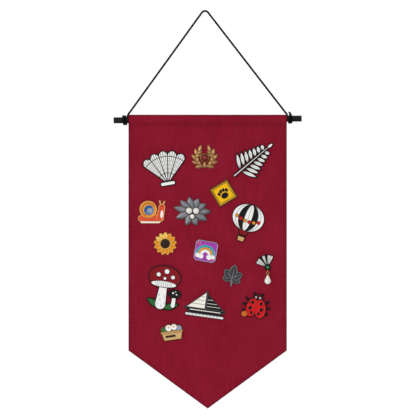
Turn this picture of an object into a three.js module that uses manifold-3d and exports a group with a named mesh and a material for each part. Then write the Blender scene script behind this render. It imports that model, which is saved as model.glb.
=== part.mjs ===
// A pin display banner: a canvas pennant on a rod, hung by a cord from one nail, with fifteen pins on it.
// Millimetres, +Z up. The origin is where the nail carries the cord. The front of the banner faces -Y.
import * as THREE from "three";
import { mergeVertices } from "three/addons/utils/BufferGeometryUtils.js";
import Module from "manifold-3d";

const wasm = await Module();
wasm.setup();

// Cloth
const BANNER_WIDTH = 201;
const SIDE_LENGTH = 299.6;
const POINT_DROP = 73.6;
const CLOTH = 0.9;
const HEM_WIDTH = 5;
const SEAM_BELOW_SLEEVE = 1.4;
const SLEEVE_FLAP = 8;
const SLEEVE_CLEARANCE = 0.25;

// Rod
const ROD_DIAMETER = 7.8;
const ROD_OVERHANG = 18.9;
const ROD_CHAMFER = 0.8;
const ROD_TILT = THREE.MathUtils.degToRad(0.55);

// Where the banner hangs, measured from the nail
const ROD_DROP = 136.4;
const BANNER_SHIFT = 3.35;

// Cord
const CORD_DIAMETER = 2.4;
const HITCH_TO_CLOTH = 0.7;
const HITCH_PITCH_GAP = 0.6;
const LEFT_TURNS = 2;
const RIGHT_TURNS = 1.5;
const RIGHT_TAIL = 8.6;
const NAIL_BEND = 4.9;
const CORD_OVER_NAIL = 0.15;

// Pins
const PLATE = 1.6;
const RIM = 1;
const LINE = 0.5;
const CELL_DEPTH = 0.5;
const POST_DIAMETER = 1.2;
const POST_LENGTH = 8;
const POST_TIP = 1.2;
const PAD_DIAMETER = 4;
const PAD_HEIGHT = 0.2;

// Clutches
const CLUTCH_LENGTH = 7.6;
const CLUTCH_FLANGE_DIAMETER = 9.6;
const CLUTCH_FLANGE = 2.4;
const CLUTCH_WAIST_DIAMETER = 5.4;
const CLUTCH_CAP_DIAMETER = 6.6;
const CLUTCH_EDGE = 0.6;

// Stones, pearls and the drop
const CABOCHON_DIAMETER = 8.6;
const FAN_STONE_DIAMETER = 4.4;
const PEARL_DIAMETERS = [8, 8, 6];
const SETTING_LIP = 0.7;
const SETTING_DEPTH = 0.6;
const DOME_SHARE = 0.75;
const LOOP_WIRE = 0.9;
const LOOP_DIAMETER = 3.6;
const DROP_RING_DIAMETER = 3.4;
const DROP_LENGTH = 12;
const DROP_DIAMETER = 8.2;
const DROP_FLATNESS = 0.6;

// Clearances
const SEAT = 0.3;
const POST_CLEARANCE = 0.3;

// Details of the pins finer than this are smoothed away
const FACET = 0.05;

// Worked out from the sizes above
const HALF_WIDTH = BANNER_WIDTH / 2;
const CORD_RADIUS = CORD_DIAMETER / 2;
const ROD_RADIUS = ROD_DIAMETER / 2;
const ROD_LENGTH = BANNER_WIDTH + 2 * ROD_OVERHANG;
const SLEEVE_BORE = ROD_RADIUS + HALF_WIDTH * Math.tan(ROD_TILT) + SLEEVE_CLEARANCE;
const SLEEVE_RADIUS = SLEEVE_BORE + CLOTH;
const CLOTH_FRONT = CLOTH / 2;
const PIN_SEAT = CLOTH_FRONT + SEAT;
const POST_HOLE = POST_DIAMETER / 2 + POST_CLEARANCE;

const COLOURS = {
  cloth: 0x851a2d,
  rod: 0x1c1c1e,
  cord: 0x131313,
  rubber: 0x1a1a1a,
  gold: 0xb08a45,
  brass: 0xb89a4c,
  silver: 0x9a9c9e,
  pewter: 0x4a4c50,
  black: 0x17171a,
  white: 0xe9e7e2,
  red: 0xa8161c,
  yellow: 0xe2a51c,
  pearl: 0xe8e2d8,
  ruby: 0x7d0f16,
  emerald: 0x1d7a45,
};

const radians = THREE.MathUtils.degToRad;

function enamel(colour) {
  return new THREE.MeshStandardMaterial({ color: colour, roughness: 0.3, metalness: 0.1 });
}

function metal(colour) {
  return new THREE.MeshStandardMaterial({ color: colour, roughness: 0.35, metalness: 1 });
}

function matte(colour) {
  return new THREE.MeshStandardMaterial({ color: colour, roughness: 0.85, metalness: 0 });
}

// A closed geometry as a solid that can be joined and cut.
function solid(geometry) {
  const bare = geometry.clone();
  bare.deleteAttribute("normal");
  bare.deleteAttribute("uv");
  const merged = mergeVertices(bare, 1e-4);
  const mesh = new wasm.Mesh({
    numProp: 3,
    vertProperties: merged.attributes.position.array,
    triVerts: new Uint32Array(merged.index.array),
  });
  return new wasm.Manifold(mesh);
}

// A solid back as a geometry.
function geometryOf(made) {
  const mesh = made.getMesh();
  return new THREE.BufferGeometry()
    .setAttribute("position", new THREE.BufferAttribute(mesh.vertProperties, 3))
    .setIndex(new THREE.BufferAttribute(mesh.triVerts, 1));
}

// A flat outline raised from one height to another along Z.
function slab(shape, from, to, arcSteps) {
  const flat = { depth: to - from, bevelEnabled: false, curveSegments: arcSteps };
  return solid(new THREE.ExtrudeGeometry(shape, flat).translate(0, 0, from));
}

// Solids joined into one, with the faces that lie in one plane made one face.
function joined(solids) {
  return solids.reduce((whole, piece) => whole.add(piece)).asOriginal();
}

// A profile turned about Z, given as [radius, height] pairs that start and end on the axis.
function turned(profile, sides) {
  const points = profile.map(([radius, height]) => new THREE.Vector2(radius, height));
  return solid(new THREE.LatheGeometry(points, sides).rotateX(Math.PI / 2));
}

const group = new THREE.Group();

function place(name, geometry, material, parent = group) {
  const mesh = new THREE.Mesh(geometry, material);
  mesh.name = name;
  parent.add(mesh);
  return mesh;
}

// Flat shapes for the pins. Each is an outline that can be grown outwards all round, with the number of
// steps that its arcs need.

// A disc of radius r about (x, y).
function disc(x, y, r) {
  const outline = (grow) => new THREE.Shape().absarc(x, y, r + grow, 0, 2 * Math.PI);
  return { outline, steps: r < 2.5 ? 3 : r < 5 ? 4 : 6 };
}

// An ellipse with half axes a and b, turned by some degrees.
function oval(x, y, a, b, turn = 0) {
  const outline = (grow) =>
    new THREE.Shape().absellipse(x, y, a + grow, b + grow, 0, 2 * Math.PI, false, radians(turn));
  return { outline, steps: Math.max(a, b) < 5 ? 4 : 6 };
}

// A bar with round ends of radius r1 at (x1, y1) and r2 at (x2, y2), joined by their common tangents.
function taper(x1, y1, r1, x2, y2, r2) {
  const heading = Math.atan2(y2 - y1, x2 - x1);
  const lean = Math.acos((r1 - r2) / Math.hypot(x2 - x1, y2 - y1));
  const outline = (grow) =>
    new THREE.Shape()
      .absarc(x2, y2, r2 + grow, heading - lean, heading + lean)
      .absarc(x1, y1, r1 + grow, heading + lean, heading - lean + 2 * Math.PI);
  return { outline, steps: Math.max(r1, r2) < 1.4 ? 1 : Math.max(r1, r2) < 3 ? 2 : 3 };
}

// A pointed leaf between two arcs, from its stalk at (x, y) along a heading in degrees.
function leaf(x, y, length, width, heading) {
  const way = radians(heading);
  const radius = (length * length + width * width) / (4 * width);
  const offset = radius - width / 2;
  const middle = new THREE.Vector2(Math.cos(way), Math.sin(way)).multiplyScalar(length / 2);
  middle.add(new THREE.Vector2(x, y));
  const across = new THREE.Vector2(-Math.sin(way), Math.cos(way)).multiplyScalar(offset);
  const outline = (grow) => {
    const half = Math.acos(offset / (radius + grow));
    const right = way - Math.PI / 2;
    const left = way + Math.PI / 2;
    return new THREE.Shape()
      .absarc(middle.x + across.x, middle.y + across.y, radius + grow, right - half, right + half)
      .absarc(middle.x - across.x, middle.y - across.y, radius + grow, left - half, left + half);
  };
  return { outline, steps: 2 };
}

// A polygon with its corners listed anticlockwise.
function polygon(...corners) {
  const points = corners.map(([x, y]) => new THREE.Vector2(x, y));
  const outline = (grow) =>
    new THREE.Shape(
      points.map((point, i) => {
        const before = points.at(i - 1);
        const after = points[(i + 1) % points.length];
        const inward = point.clone().sub(before).normalize();
        const onward = after.clone().sub(point).normalize();
        const share = grow / (1 + inward.dot(onward));
        return new THREE.Vector2(
          point.x + (inward.y + onward.y) * share,
          point.y - (inward.x + onward.x) * share,
        );
      }),
    );
  return { outline, steps: 1 };
}

// Part of a ring: a middle radius, half its breadth, and the two headings in degrees between which it runs.
function band(x, y, radius, half, from, to) {
  const outline = (grow) => {
    const end = grow / radius;
    return new THREE.Shape()
      .absarc(x, y, radius + half + grow, radians(from) - end, radians(to) + end)
      .absarc(x, y, radius - half - grow, radians(to) + end, radians(from) - end, true);
  };
  return { outline, steps: 4 };
}

function raised(shape, grow, from, to) {
  return slab(shape.outline(grow), from, to, shape.steps);
}

function fan(count, make) {
  return Array.from({ length: count }, (_, i) => make(i, i - (count - 1) / 2));
}

// The fifteen motifs. Cells are the hollows that hold the enamel, each lying over the ones listed before it.
// Backing is bare metal: stalks, settings and links between cells.
const CABOCHON = CABOCHON_DIAMETER / 2 + SETTING_LIP;
const FAN_STONE = FAN_STONE_DIAMETER / 2 + SETTING_LIP;
const FAN_PIVOT = -8.6;
const PEARL_PLACES = [
  [-4.6, 1.4],
  [4.4, 2],
  [0.2, -5.6],
];

function shellMotif() {
  const step = 18;
  const hinge = -21;
  const ribs = fan(5, (i, middle) => {
    const way = radians(90 - middle * step);
    const widen = Math.sin(radians(step / 2));
    const near = 3.6;
    const far = 36;
    return taper(
      near * Math.cos(way),
      hinge + near * Math.sin(way),
      near * widen - LINE / 2,
      far * Math.cos(way),
      hinge + far * Math.sin(way),
      far * widen - LINE / 2,
    );
  });
  return { cells: [taper(-7, hinge, 2.2, 7, hinge, 2.2), ...ribs], backing: [] };
}

function wreathMotif() {
  const radius = 10.6;
  const sides = [1, -1].flatMap((side) => {
    const along = (angle) => [side * radius * Math.cos(angle), radius * Math.sin(angle)];
    const heading = (angle, splay) => {
      const upward = THREE.MathUtils.radToDeg(angle) + 90 - splay;
      return side > 0 ? upward : 180 - upward;
    };
    const outer = fan(5, (i) => {
      const angle = radians(-72 + i * 30);
      return leaf(...along(angle), 7.6, 2.6, heading(angle, 30));
    });
    const inner = fan(4, (i) => {
      const angle = radians(-56 + i * 30);
      return leaf(...along(angle), 5, 2, heading(angle, -34));
    });
    return [...outer, ...inner];
  });
  const ring = band(0, 0, radius, 0.6, -240, 60);
  const spokes = [30, 150, 270].map((angle) => {
    const way = radians(angle);
    return taper(
      CABOCHON * Math.cos(way),
      CABOCHON * Math.sin(way),
      0.7,
      radius * Math.cos(way),
      radius * Math.sin(way),
      0.7,
    );
  });
  return { cells: [], backing: [...sides, ring, ...spokes, disc(0, 0, CABOCHON)] };
}

function fernMotif() {
  const fronds = fan(7, (i) => {
    const x = -20 + i * 6.3;
    const length = 20 - i * 2.2;
    return [leaf(x, 1.6, length, 4.4, 62), leaf(x, -1.6, length, 4.4, -62)];
  });
  const stem = taper(-31, 0, 0.9, 24, 0, 0.6);
  return { cells: [...fronds.flat(), leaf(23.6, 0, 9, 3.4, 0), stem], backing: [] };
}

function pawMotif() {
  const half = 12.1;
  const face = half - 0.9;
  const square = (size) => polygon([-size, -size], [size, -size], [size, size], [-size, size]);
  const toes = [-5.4, -1.9, 1.9, 5.4].map((x) => oval(x, 4.6 - Math.abs(x) * 0.55, 1.5, 2.1));
  return { cells: [square(face), oval(0, -3.4, 4.4, 3.4), ...toes], backing: [square(half)] };
}

function snailMotif() {
  return {
    cells: [
      taper(-12, -13, 1.5, 9.5, -13, 1.5),
      taper(-13, -9, 3.2, 11, -8.4, 4.2),
      taper(11, -8, 4, 13.4, 5, 3.4),
      disc(-4, 2.4, 10.2),
      disc(-3.2, 1.6, 6.2),
      disc(-2.2, 1.2, 2.4),
    ],
    backing: [taper(12.4, 7, 0.2, 10.6, 13, 0.2), taper(14.4, 7, 0.2, 16.6, 12.4, 0.2)],
  };
}

function sprayMotif() {
  const lengths = [20, 17, 16, 16.5, 18, 21, 19, 15.5, 15, 18];
  const headings = [8, 38, 72, 108, 142, 172, 206, 250, 292, 336];
  const leaves = headings.map((heading, i) => {
    const way = radians(heading);
    return leaf(2 * Math.cos(way), 2 * Math.sin(way), lengths[i], 7, heading);
  });
  const cups = PEARL_PLACES.map(([x, y], i) => disc(x, y, PEARL_DIAMETERS[i] / 2));
  return { cells: [], backing: [...leaves, ...cups] };
}

function balloonMotif() {
  const bunting = fan(6, (i, middle) => disc(middle * 5.8, 1.2 + middle * middle * 0.5, 2));
  return {
    cells: [
      oval(0, 6, 20, 17),
      oval(0, 6, 12, 16.8),
      oval(0, 6, 4.4, 16.6),
      ...bunting,
      polygon([-3.4, -16.4], [3.4, -16.4], [5.6, -11.2], [-5.6, -11.2]),
      polygon([-3.4, -24.6], [3.4, -24.6], [4, -19.6], [-4, -19.6]),
    ],
    backing: [taper(-3, -20, 0.2, -3, -16, 0.2), taper(3, -20, 0.2, 3, -16, 0.2)],
  };
}

function sunflowerMotif() {
  const petals = fan(13, (i, middle) => {
    const heading = (middle * 360) / 13;
    const way = radians(heading);
    return leaf(6.8 * Math.cos(way), 6.8 * Math.sin(way), 7, 4, heading);
  });
  return { cells: [...petals, disc(0, 0, 6.2)], backing: [] };
}

function rainbowMotif() {
  const arcs = [11, 8, 5].map((radius) => band(0, -4.6, radius, 1.4, 0, 180));
  const clouds = [-1, 1].flatMap((side) => [disc(side * 9.6, -6.2, 2.7), disc(side * 5.4, -6.8, 3.1)]);
  const block = polygon(
    [-10.6, -12.4],
    [10.6, -12.4],
    [13.4, -9.6],
    [13.4, 9.6],
    [10.6, 12.4],
    [-10.6, 12.4],
    [-13.4, 9.6],
    [-13.4, -9.6],
  );
  return { cells: [block, ...arcs, ...clouds, disc(-9.8, 9, 1.5), disc(9, -9.6, 1.2)], backing: [] };
}

function toadstoolMotif() {
  const spots = [
    [-9, 16, 2.8],
    [1, 21, 3.2],
    [9.5, 14.5, 2.6],
    [-0.5, 12, 2],
  ];
  return {
    cells: [
      leaf(-2, -25, 19, 7.5, 152),
      leaf(2, -26, 20, 7.5, 22),
      taper(14.4, -8, 2.2, 14, -21, 2.8),
      oval(14.4, -6, 7.4, 5),
      taper(-1, 4, 4.6, -2, -21, 6.6),
      oval(-1, 14, 20, 13.6),
      oval(-1, 4.6, 16, 4),
      ...spots.map(([x, y, r]) => disc(x, y, r)),
    ],
    backing: [],
  };
}

function sailboatMotif() {
  return {
    cells: [
      polygon([-1.2, -6.4], [-1.2, 13.4], [-23, -6.4]),
      polygon([1.6, -6.4], [22, -6.4], [1.6, 10.6]),
      polygon([-18, -13.4], [18, -13.4], [25, -7.8], [-25.4, -7.8]),
      taper(-23, -15.6, 1.2, 23, -15.6, 1.2),
    ],
    backing: [taper(0.2, -8, 0.2, 0.2, 15, 0.2)],
  };
}

function ivyMotif() {
  return {
    cells: [
      leaf(0, -3, 11, 7, -14),
      leaf(0, -3, 11, 7, 194),
      leaf(0, -3, 13.4, 8, 36),
      leaf(0, -3, 13.4, 8, 144),
      leaf(0, -3, 16.4, 8.4, 90),
    ],
    backing: [taper(0, -3, 0.8, 1.2, -12.6, 0.2)],
  };
}

function fanMotif() {
  const step = 14;
  const sticks = fan(7, (i, middle) => {
    const way = radians(90 - middle * step);
    const widen = Math.sin(radians(step / 2));
    const near = 4.8;
    const far = 14;
    return taper(
      near * Math.cos(way),
      FAN_PIVOT + near * Math.sin(way),
      near * widen - LINE / 2,
      far * Math.cos(way),
      FAN_PIVOT + far * Math.sin(way),
      far * widen - LINE / 2,
    );
  });
  return { cells: sticks, backing: [disc(0, FAN_PIVOT, FAN_STONE)] };
}

function ladybirdMotif() {
  const legs = [-1, 1].flatMap((side) =>
    [-24, 4, 34].map((angle) => {
      const way = radians(angle);
      return taper(side * 9, 8 * Math.sin(way), 0.6, side * 17 * Math.cos(way), 17 * Math.sin(way), 0.3);
    }),
  );
  const feelers = [-1, 1].map((side) => taper(side * 2, 13, 0.3, side * 5.4, 17.4, 0.3));
  const spots = [-1, 1].flatMap((side) => [
    disc(side * 5.6, 5, 1.7),
    disc(side * 7.2, -2.4, 1.9),
    disc(side * 4.6, -8, 1.5),
  ]);
  return {
    cells: [
      oval(0, 11, 6.4, 4.6),
      oval(-5.4, -1.6, 6.8, 11.6, -8),
      oval(5.4, -1.6, 6.8, 11.6, 8),
      ...spots,
      disc(-13, -11.4, 3.6),
      disc(-13, -11.4, 1.3),
    ],
    backing: [...legs, ...feelers],
  };
}

function basketMotif() {
  const blossoms = [
    [-9.4, 3.4, 3.4],
    [-3.4, 5.4, 3.8],
    [9.4, 3.6, 3.4],
    [3.4, 5.8, 3.6],
  ];
  return {
    cells: [
      ...blossoms.map(([x, y, r]) => disc(x, y, r)),
      polygon([-10.4, -9.6], [10.4, -9.6], [12.6, -0.6], [-12.6, -0.6]),
      taper(-12.6, 0, 1.2, 12.6, 0, 1.2),
      taper(-7.6, -5.2, 1, 3, -5.2, 1),
    ],
    backing: [],
  };
}

// Each pin: its motif, its centre across from the banner's middle line and down from its top edge,
// its turn in degrees, its posts in its own plane, and its finish.
const PINS = [
  {
    name: "shell",
    motif: shellMotif(),
    x: -54,
    down: 66.8,
    turn: 10,
    posts: [[-12, 4], [12, 4]],
    look: enamel(COLOURS.white),
  },
  {
    name: "wreath",
    motif: wreathMotif(),
    x: -3.7,
    down: 55,
    turn: 0,
    posts: [[0, 0]],
    look: metal(COLOURS.gold),
  },
  {
    name: "fern",
    motif: fernMotif(),
    x: 57.6,
    down: 57.7,
    turn: 40,
    posts: [[-14, 0], [12, 0]],
    look: enamel(COLOURS.black),
  },
  {
    name: "paw",
    motif: pawMotif(),
    x: 20.1,
    down: 99.7,
    turn: 30.7,
    posts: [[0, 0]],
    look: enamel(COLOURS.yellow),
  },
  {
    name: "snail",
    motif: snailMotif(),
    x: -71.4,
    down: 122.8,
    turn: 0,
    posts: [[-2, 0]],
    look: metal(COLOURS.brass),
  },
  {
    name: "spray",
    motif: sprayMotif(),
    x: -19.2,
    down: 123.7,
    turn: -6,
    posts: [[0, 0]],
    look: metal(COLOURS.silver),
  },
  {
    name: "balloon",
    motif: balloonMotif(),
    x: 49.5,
    down: 136.7,
    turn: -20,
    posts: [[0, 16], [0, -4]],
    look: enamel(COLOURS.white),
  },
  {
    name: "sunflower",
    motif: sunflowerMotif(),
    x: -53.8,
    down: 163.8,
    turn: 6,
    posts: [[0, 0]],
    look: metal(COLOURS.gold),
  },
  {
    name: "rainbow",
    motif: rainbowMotif(),
    x: -2.4,
    down: 173.5,
    turn: -10,
    posts: [[0, 2]],
    look: enamel(COLOURS.white),
  },
  {
    name: "toadstool",
    motif: toadstoolMotif(),
    x: -55.4,
    down: 219.8,
    turn: -8,
    posts: [[0, 14], [-2, -14]],
    look: enamel(COLOURS.white),
  },
  {
    name: "sailboat",
    motif: sailboatMotif(),
    x: -2.1,
    down: 239.8,
    turn: -8,
    posts: [[-9, -2], [9, -2]],
    look: metal(COLOURS.silver),
  },
  {
    name: "ivy",
    motif: ivyMotif(),
    x: 31.6,
    down: 204.7,
    turn: -14,
    posts: [[0, 2]],
    look: metal(COLOURS.pewter),
  },
  {
    name: "fan",
    motif: fanMotif(),
    x: 73,
    down: 185.8,
    turn: 22,
    posts: [[0, 0]],
    look: enamel(COLOURS.black),
  },
  {
    name: "ladybird",
    motif: ladybirdMotif(),
    x: 61.5,
    down: 244.2,
    turn: -12,
    posts: [[0, 0]],
    look: enamel(COLOURS.red),
  },
  {
    name: "basket",
    motif: basketMotif(),
    x: -45.5,
    down: 275.8,
    turn: 8,
    posts: [[0, 0]],
    look: metal(COLOURS.brass),
  },
];

// The banner hangs from the sleeve's axis, which is the rod's middle.
const banner = new THREE.Group();
banner.position.set(BANNER_SHIFT, 0, -ROD_DROP);
group.add(banner);

// The rod, with its slight tilt in the sleeve, and the cord wound round its ends.
const rodAxis = new THREE.Group();
rodAxis.position.copy(banner.position);
rodAxis.rotation.y = -ROD_TILT;
group.add(rodAxis);

// A round dowel along X with chamfered ends.
function rodGeometry() {
  const half = ROD_LENGTH / 2;
  const profile = [
    [0, -half],
    [ROD_RADIUS - ROD_CHAMFER, -half],
    [ROD_RADIUS, -half + ROD_CHAMFER],
    [ROD_RADIUS, half - ROD_CHAMFER],
    [ROD_RADIUS - ROD_CHAMFER, half],
    [0, half],
  ];
  return geometryOf(turned(profile, 20)).rotateY(Math.PI / 2);
}

place("rod", rodGeometry(), matte(COLOURS.rod), rodAxis);

// Turns of cord round the rod, from a straight tail to a straight end that rises behind the rod to the nail.
// The angle is measured from the back of the rod, over its top. Side is -1 at the left end, 1 at the right.
class HitchCurve extends THREE.Curve {
  constructor(side, turns, tail) {
    super();
    const radius = ROD_RADIUS + SEAT + CORD_RADIUS;
    this.side = side;
    this.turns = turns;
    this.radius = radius;
    this.pitch = CORD_DIAMETER + HITCH_PITCH_GAP;
    this.inner = side * (HALF_WIDTH + HITCH_TO_CLOTH + CORD_RADIUS);
    this.wound = turns * Math.hypot(2 * Math.PI * radius, this.pitch);
    this.tail = tail;
    this.whole = tail + this.wound + CORD_DIAMETER;
  }

  onTurn(angle) {
    const across = this.inner - (this.side * this.pitch * angle) / (2 * Math.PI);
    return new THREE.Vector3(across, this.radius * Math.cos(angle), this.radius * Math.sin(angle));
  }

  getPoint(t) {
    const run = t * this.whole;
    const first = -2 * Math.PI * this.turns;
    if (run < this.tail) {
      const rise = (this.tail - run) * Math.sign(Math.cos(first));
      return this.onTurn(first).add(new THREE.Vector3(0, 0, -rise));
    }
    const wound = Math.min((run - this.tail) / this.wound, 1);
    const rest = Math.max(run - this.tail - this.wound, 0);
    return this.onTurn(first * (1 - wound)).add(new THREE.Vector3(0, 0, rest));
  }
}

// A round section of some sides, carried along a curve.
function tube(curve, steps, sides) {
  const section = new THREE.Shape().absarc(0, 0, CORD_RADIUS, 0, 2 * Math.PI);
  return new THREE.ExtrudeGeometry(section, { steps, extrudePath: curve, curveSegments: sides / 2 });
}

// The least clear space between one turn of a hitch and the next, measured between points half a turn or
// more apart along the cord.
function leastGap(curve, count) {
  const points = curve.getSpacedPoints(count);
  const apart = Math.ceil((Math.PI * curve.radius * count) / curve.whole);
  const gaps = points.flatMap((point, i) =>
    points.slice(i + apart).map((other) => point.distanceTo(other) - CORD_DIAMETER),
  );
  return Math.min(...gaps);
}

function hitch(name, side, turns, tail) {
  const curve = new HitchCurve(side, turns, tail);
  const steps = Math.round((24 * curve.whole) / (2 * Math.PI * curve.radius));
  console.log(`${name}: least gap to itself ${leastGap(curve, 400).toFixed(2)} mm`);
  place(name, tube(curve, steps, 6), matte(COLOURS.cord), rodAxis);
  return curve;
}

const leftHitch = hitch("left_hitch", -1, LEFT_TURNS, CORD_DIAMETER);
const rightHitch = hitch("right_hitch", 1, RIGHT_TURNS, RIGHT_TAIL);

// The free stretch of the cord: a round bend over the nail, and a straight leg on either side that comes down
// to the height of the rod's top and eases into the end of its hitch behind the rod.
const BEND_LEANS = [-54, -27, 0, 27, 54];
const LEG_SHARES = [0.02, 0.05, 0.12, 0.3, 0.5, 0.7, 0.9, 0.98];

const overNail = BEND_LEANS.map(radians).map((lean) => {
  const top = CORD_OVER_NAIL + CORD_RADIUS;
  return new THREE.Vector3(NAIL_BEND * Math.sin(lean), 0, top + NAIL_BEND * (Math.cos(lean) - 1));
});

function cordLeg(curve, shoulder) {
  const end = rodAxis.localToWorld(curve.getPoint(1)).add(new THREE.Vector3(0, 0, SEAT));
  const foot = new THREE.Vector3(end.x, end.y, ROD_RADIUS - ROD_DROP);
  const risen = end.clone().add(new THREE.Vector3(0, 0, CORD_RADIUS));
  return [end, risen, ...LEG_SHARES.map((share) => foot.clone().lerp(shoulder, share))];
}

const leftLeg = cordLeg(leftHitch, overNail[0]);
const rightLeg = cordLeg(rightHitch, overNail[overNail.length - 1]);
const cordCurve = new THREE.CatmullRomCurve3([...leftLeg, ...overNail, ...rightLeg.reverse()]);
place("hanger_cord", tube(cordCurve, 66, 8), matte(COLOURS.cord));

// The pennant's outline, set in by some distance from the edge of the cloth. Its top is the sleeve's middle.
function pennant(inset) {
  const half = HALF_WIDTH - inset;
  const corner = SLEEVE_RADIUS - SIDE_LENGTH;
  const slope = POINT_DROP / HALF_WIDTH;
  const lift = inset * (Math.hypot(1, slope) - slope);
  const point = corner - POINT_DROP + inset * Math.hypot(1, slope);
  return [
    new THREE.Vector2(-half, -SLEEVE_RADIUS),
    new THREE.Vector2(-half, corner + lift),
    new THREE.Vector2(0, point),
    new THREE.Vector2(half, corner + lift),
    new THREE.Vector2(half, -SLEEVE_RADIUS),
  ];
}

// The sleeve's section across the rod: a round loop that closes on the panel at the seam, with the flap
// of cloth sewn down behind it. The first axis points to the back of the banner, the second up.
function sleeveSection() {
  const seam = -SLEEVE_RADIUS - SEAM_BELOW_SLEEVE;
  const flap = CLOTH_FRONT + CLOTH;
  const hip = SLEEVE_RADIUS * Math.SQRT1_2;
  const section = new THREE.Shape();
  section.moveTo(-CLOTH_FRONT, seam - SLEEVE_FLAP);
  section.lineTo(flap, seam - SLEEVE_FLAP);
  section.lineTo(flap, seam);
  section.quadraticCurveTo(flap, -hip - flap, hip, -hip);
  section.absarc(0, 0, SLEEVE_RADIUS, -Math.PI / 4, (5 * Math.PI) / 4);
  section.quadraticCurveTo(-CLOTH_FRONT, -hip - CLOTH_FRONT, -CLOTH_FRONT, seam);
  section.holes.push(new THREE.Path().absarc(0, 0, SLEEVE_BORE, 0, 2 * Math.PI, true));
  return section;
}

// A pin's place in the plane of the cloth, and a point of the pin carried there.
function inBanner(pin, [x, y] = [0, 0]) {
  const turn = radians(pin.turn);
  return new THREE.Vector2(
    pin.x + x * Math.cos(turn) - y * Math.sin(turn),
    SLEEVE_RADIUS - pin.down + x * Math.sin(turn) + y * Math.cos(turn),
  );
}

// Canvas: a panel with a hem turned to the back along its sides and point, the sleeve, and a hole for each
// post. The panel lies flat in XY with its front up.
function clothGeometry() {
  const panel = slab(new THREE.Shape(pennant(0)), -CLOTH_FRONT, CLOTH_FRONT, 1);
  const turnedIn = new THREE.Shape([...pennant(0), ...pennant(HEM_WIDTH).reverse()]);
  const hem = slab(turnedIn, -CLOTH_FRONT - CLOTH, 0, 1);
  const sleeveFlat = { depth: BANNER_WIDTH, bevelEnabled: false, curveSegments: 12 };
  const alongX = new THREE.Matrix4().makeBasis(
    new THREE.Vector3(0, 0, -1),
    new THREE.Vector3(0, 1, 0),
    new THREE.Vector3(1, 0, 0),
  );
  const sleeve = solid(
    new THREE.ExtrudeGeometry(sleeveSection(), sleeveFlat)
      .applyMatrix4(alongX)
      .translate(-HALF_WIDTH, 0, 0),
  );
  const posts = PINS.flatMap((pin) => pin.posts.map((post) => inBanner(pin, post)));
  const holes = posts.map(({ x, y }) => {
    const hole = new THREE.Shape().absarc(x, y, POST_HOLE, 0, 2 * Math.PI);
    return slab(hole, -2 * CLOTH, 2 * CLOTH, 4);
  });
  return geometryOf(joined([panel, hem, sleeve]).subtract(joined(holes)));
}

const cloth = place("banner_cloth", clothGeometry(), matte(COLOURS.cloth), banner);
cloth.rotation.x = Math.PI / 2;

// A pin post with a soldered pad and a point, standing behind the plate.
function post([x, y]) {
  const radius = POST_DIAMETER / 2;
  const profile = [
    [0, -POST_LENGTH],
    [radius, POST_TIP - POST_LENGTH],
    [radius, -PAD_HEIGHT],
    [PAD_DIAMETER / 2, -PAD_HEIGHT],
    [PAD_DIAMETER / 2, RIM / 2],
    [0, RIM / 2],
  ];
  return turned(profile, 6).translate(x, y, 0);
}

// A die-struck plate in XY, front up: the cells and backing grown by the rim, with a hollow for each cell
// that leaves a line of metal round every cell lying over it, and the posts behind.
function badge(pin) {
  const { cells, backing } = pin.motif;
  const blank = joined([...cells, ...backing].map((shape) => raised(shape, RIM, 0, PLATE)));
  const struck = cells.reduce((plate, cell, i) => {
    const hollow = raised(cell, 0, PLATE - CELL_DEPTH, 2 * PLATE);
    const over = cells.slice(i + 1).map((later) => raised(later, LINE, 0, 3 * PLATE));
    return plate.subtract(over.reduce((left, piece) => left.subtract(piece), hollow));
  }, blank);
  return joined([struck, ...pin.posts.map(post)]).simplify(FACET);
}

// A round seat for a stone or pearl: a raised lip with a flat-bottomed hollow.
function setting(x, y, diameter) {
  const lip = raised(disc(x, y, diameter / 2 + SETTING_LIP), 0, 0, PLATE + SETTING_DEPTH);
  const hollow = raised(disc(x, y, diameter / 2 + SEAT), 0, PLATE, 2 * PLATE);
  return { lip, hollow };
}

function withSettings(plate, settings) {
  const lips = settings.map(({ lip }) => lip);
  return settings.reduce((left, { hollow }) => left.subtract(hollow), joined([plate, ...lips]));
}

// A flat-backed dome that sits in a setting: an ellipse in section, of some height for its diameter.
function domeGeometry(diameter) {
  const radius = diameter / 2;
  const arc = Array.from({ length: 5 }, (_, i) => {
    const angle = (i * Math.PI) / 8;
    return [radius * Math.cos(angle), SETTING_DEPTH + radius * DOME_SHARE * Math.sin(angle)];
  });
  arc[arc.length - 1][0] = 0;
  return geometryOf(turned([[0, 0], [radius, 0], ...arc], 10));
}

// A wire ring about the origin, in the plane of X and Y.
function ring(diameter) {
  return solid(new THREE.TorusGeometry(diameter / 2, LOOP_WIRE / 2, 6, 12));
}

// A soft clutch about Z: a flange on the cloth, a waist to grip, a rounded cap and a blind bore for the post.
function clutchGeometry() {
  const bore = POST_DIAMETER / 2 + POST_CLEARANCE;
  const bottom = POST_LENGTH - 2 * SEAT - CLOTH + POST_CLEARANCE;
  const flange = CLUTCH_FLANGE_DIAMETER / 2;
  const waist = CLUTCH_WAIST_DIAMETER / 2;
  const cap = CLUTCH_CAP_DIAMETER / 2;
  const profile = [
    [0, -CLUTCH_LENGTH],
    [cap - CLUTCH_EDGE, -CLUTCH_LENGTH],
    [cap, CLUTCH_EDGE - CLUTCH_LENGTH],
    [waist, -CLUTCH_FLANGE - CLUTCH_EDGE],
    [flange, -CLUTCH_FLANGE],
    [flange, -CLUTCH_EDGE],
    [flange - CLUTCH_EDGE, 0],
    [bore, 0],
    [bore, -bottom],
    [0, -bottom],
  ];
  return geometryOf(turned(profile, 8));
}

// Stands a piece made flat in XY up in the cloth's plane at a pin's place, in front of the cloth or behind it.
function stand(mesh, pin, [x, y], front) {
  const at = inBanner(pin, [x, y]);
  mesh.rotation.set(Math.PI / 2, 0, radians(pin.turn));
  mesh.position.set(at.x, -front, at.y);
}

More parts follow.
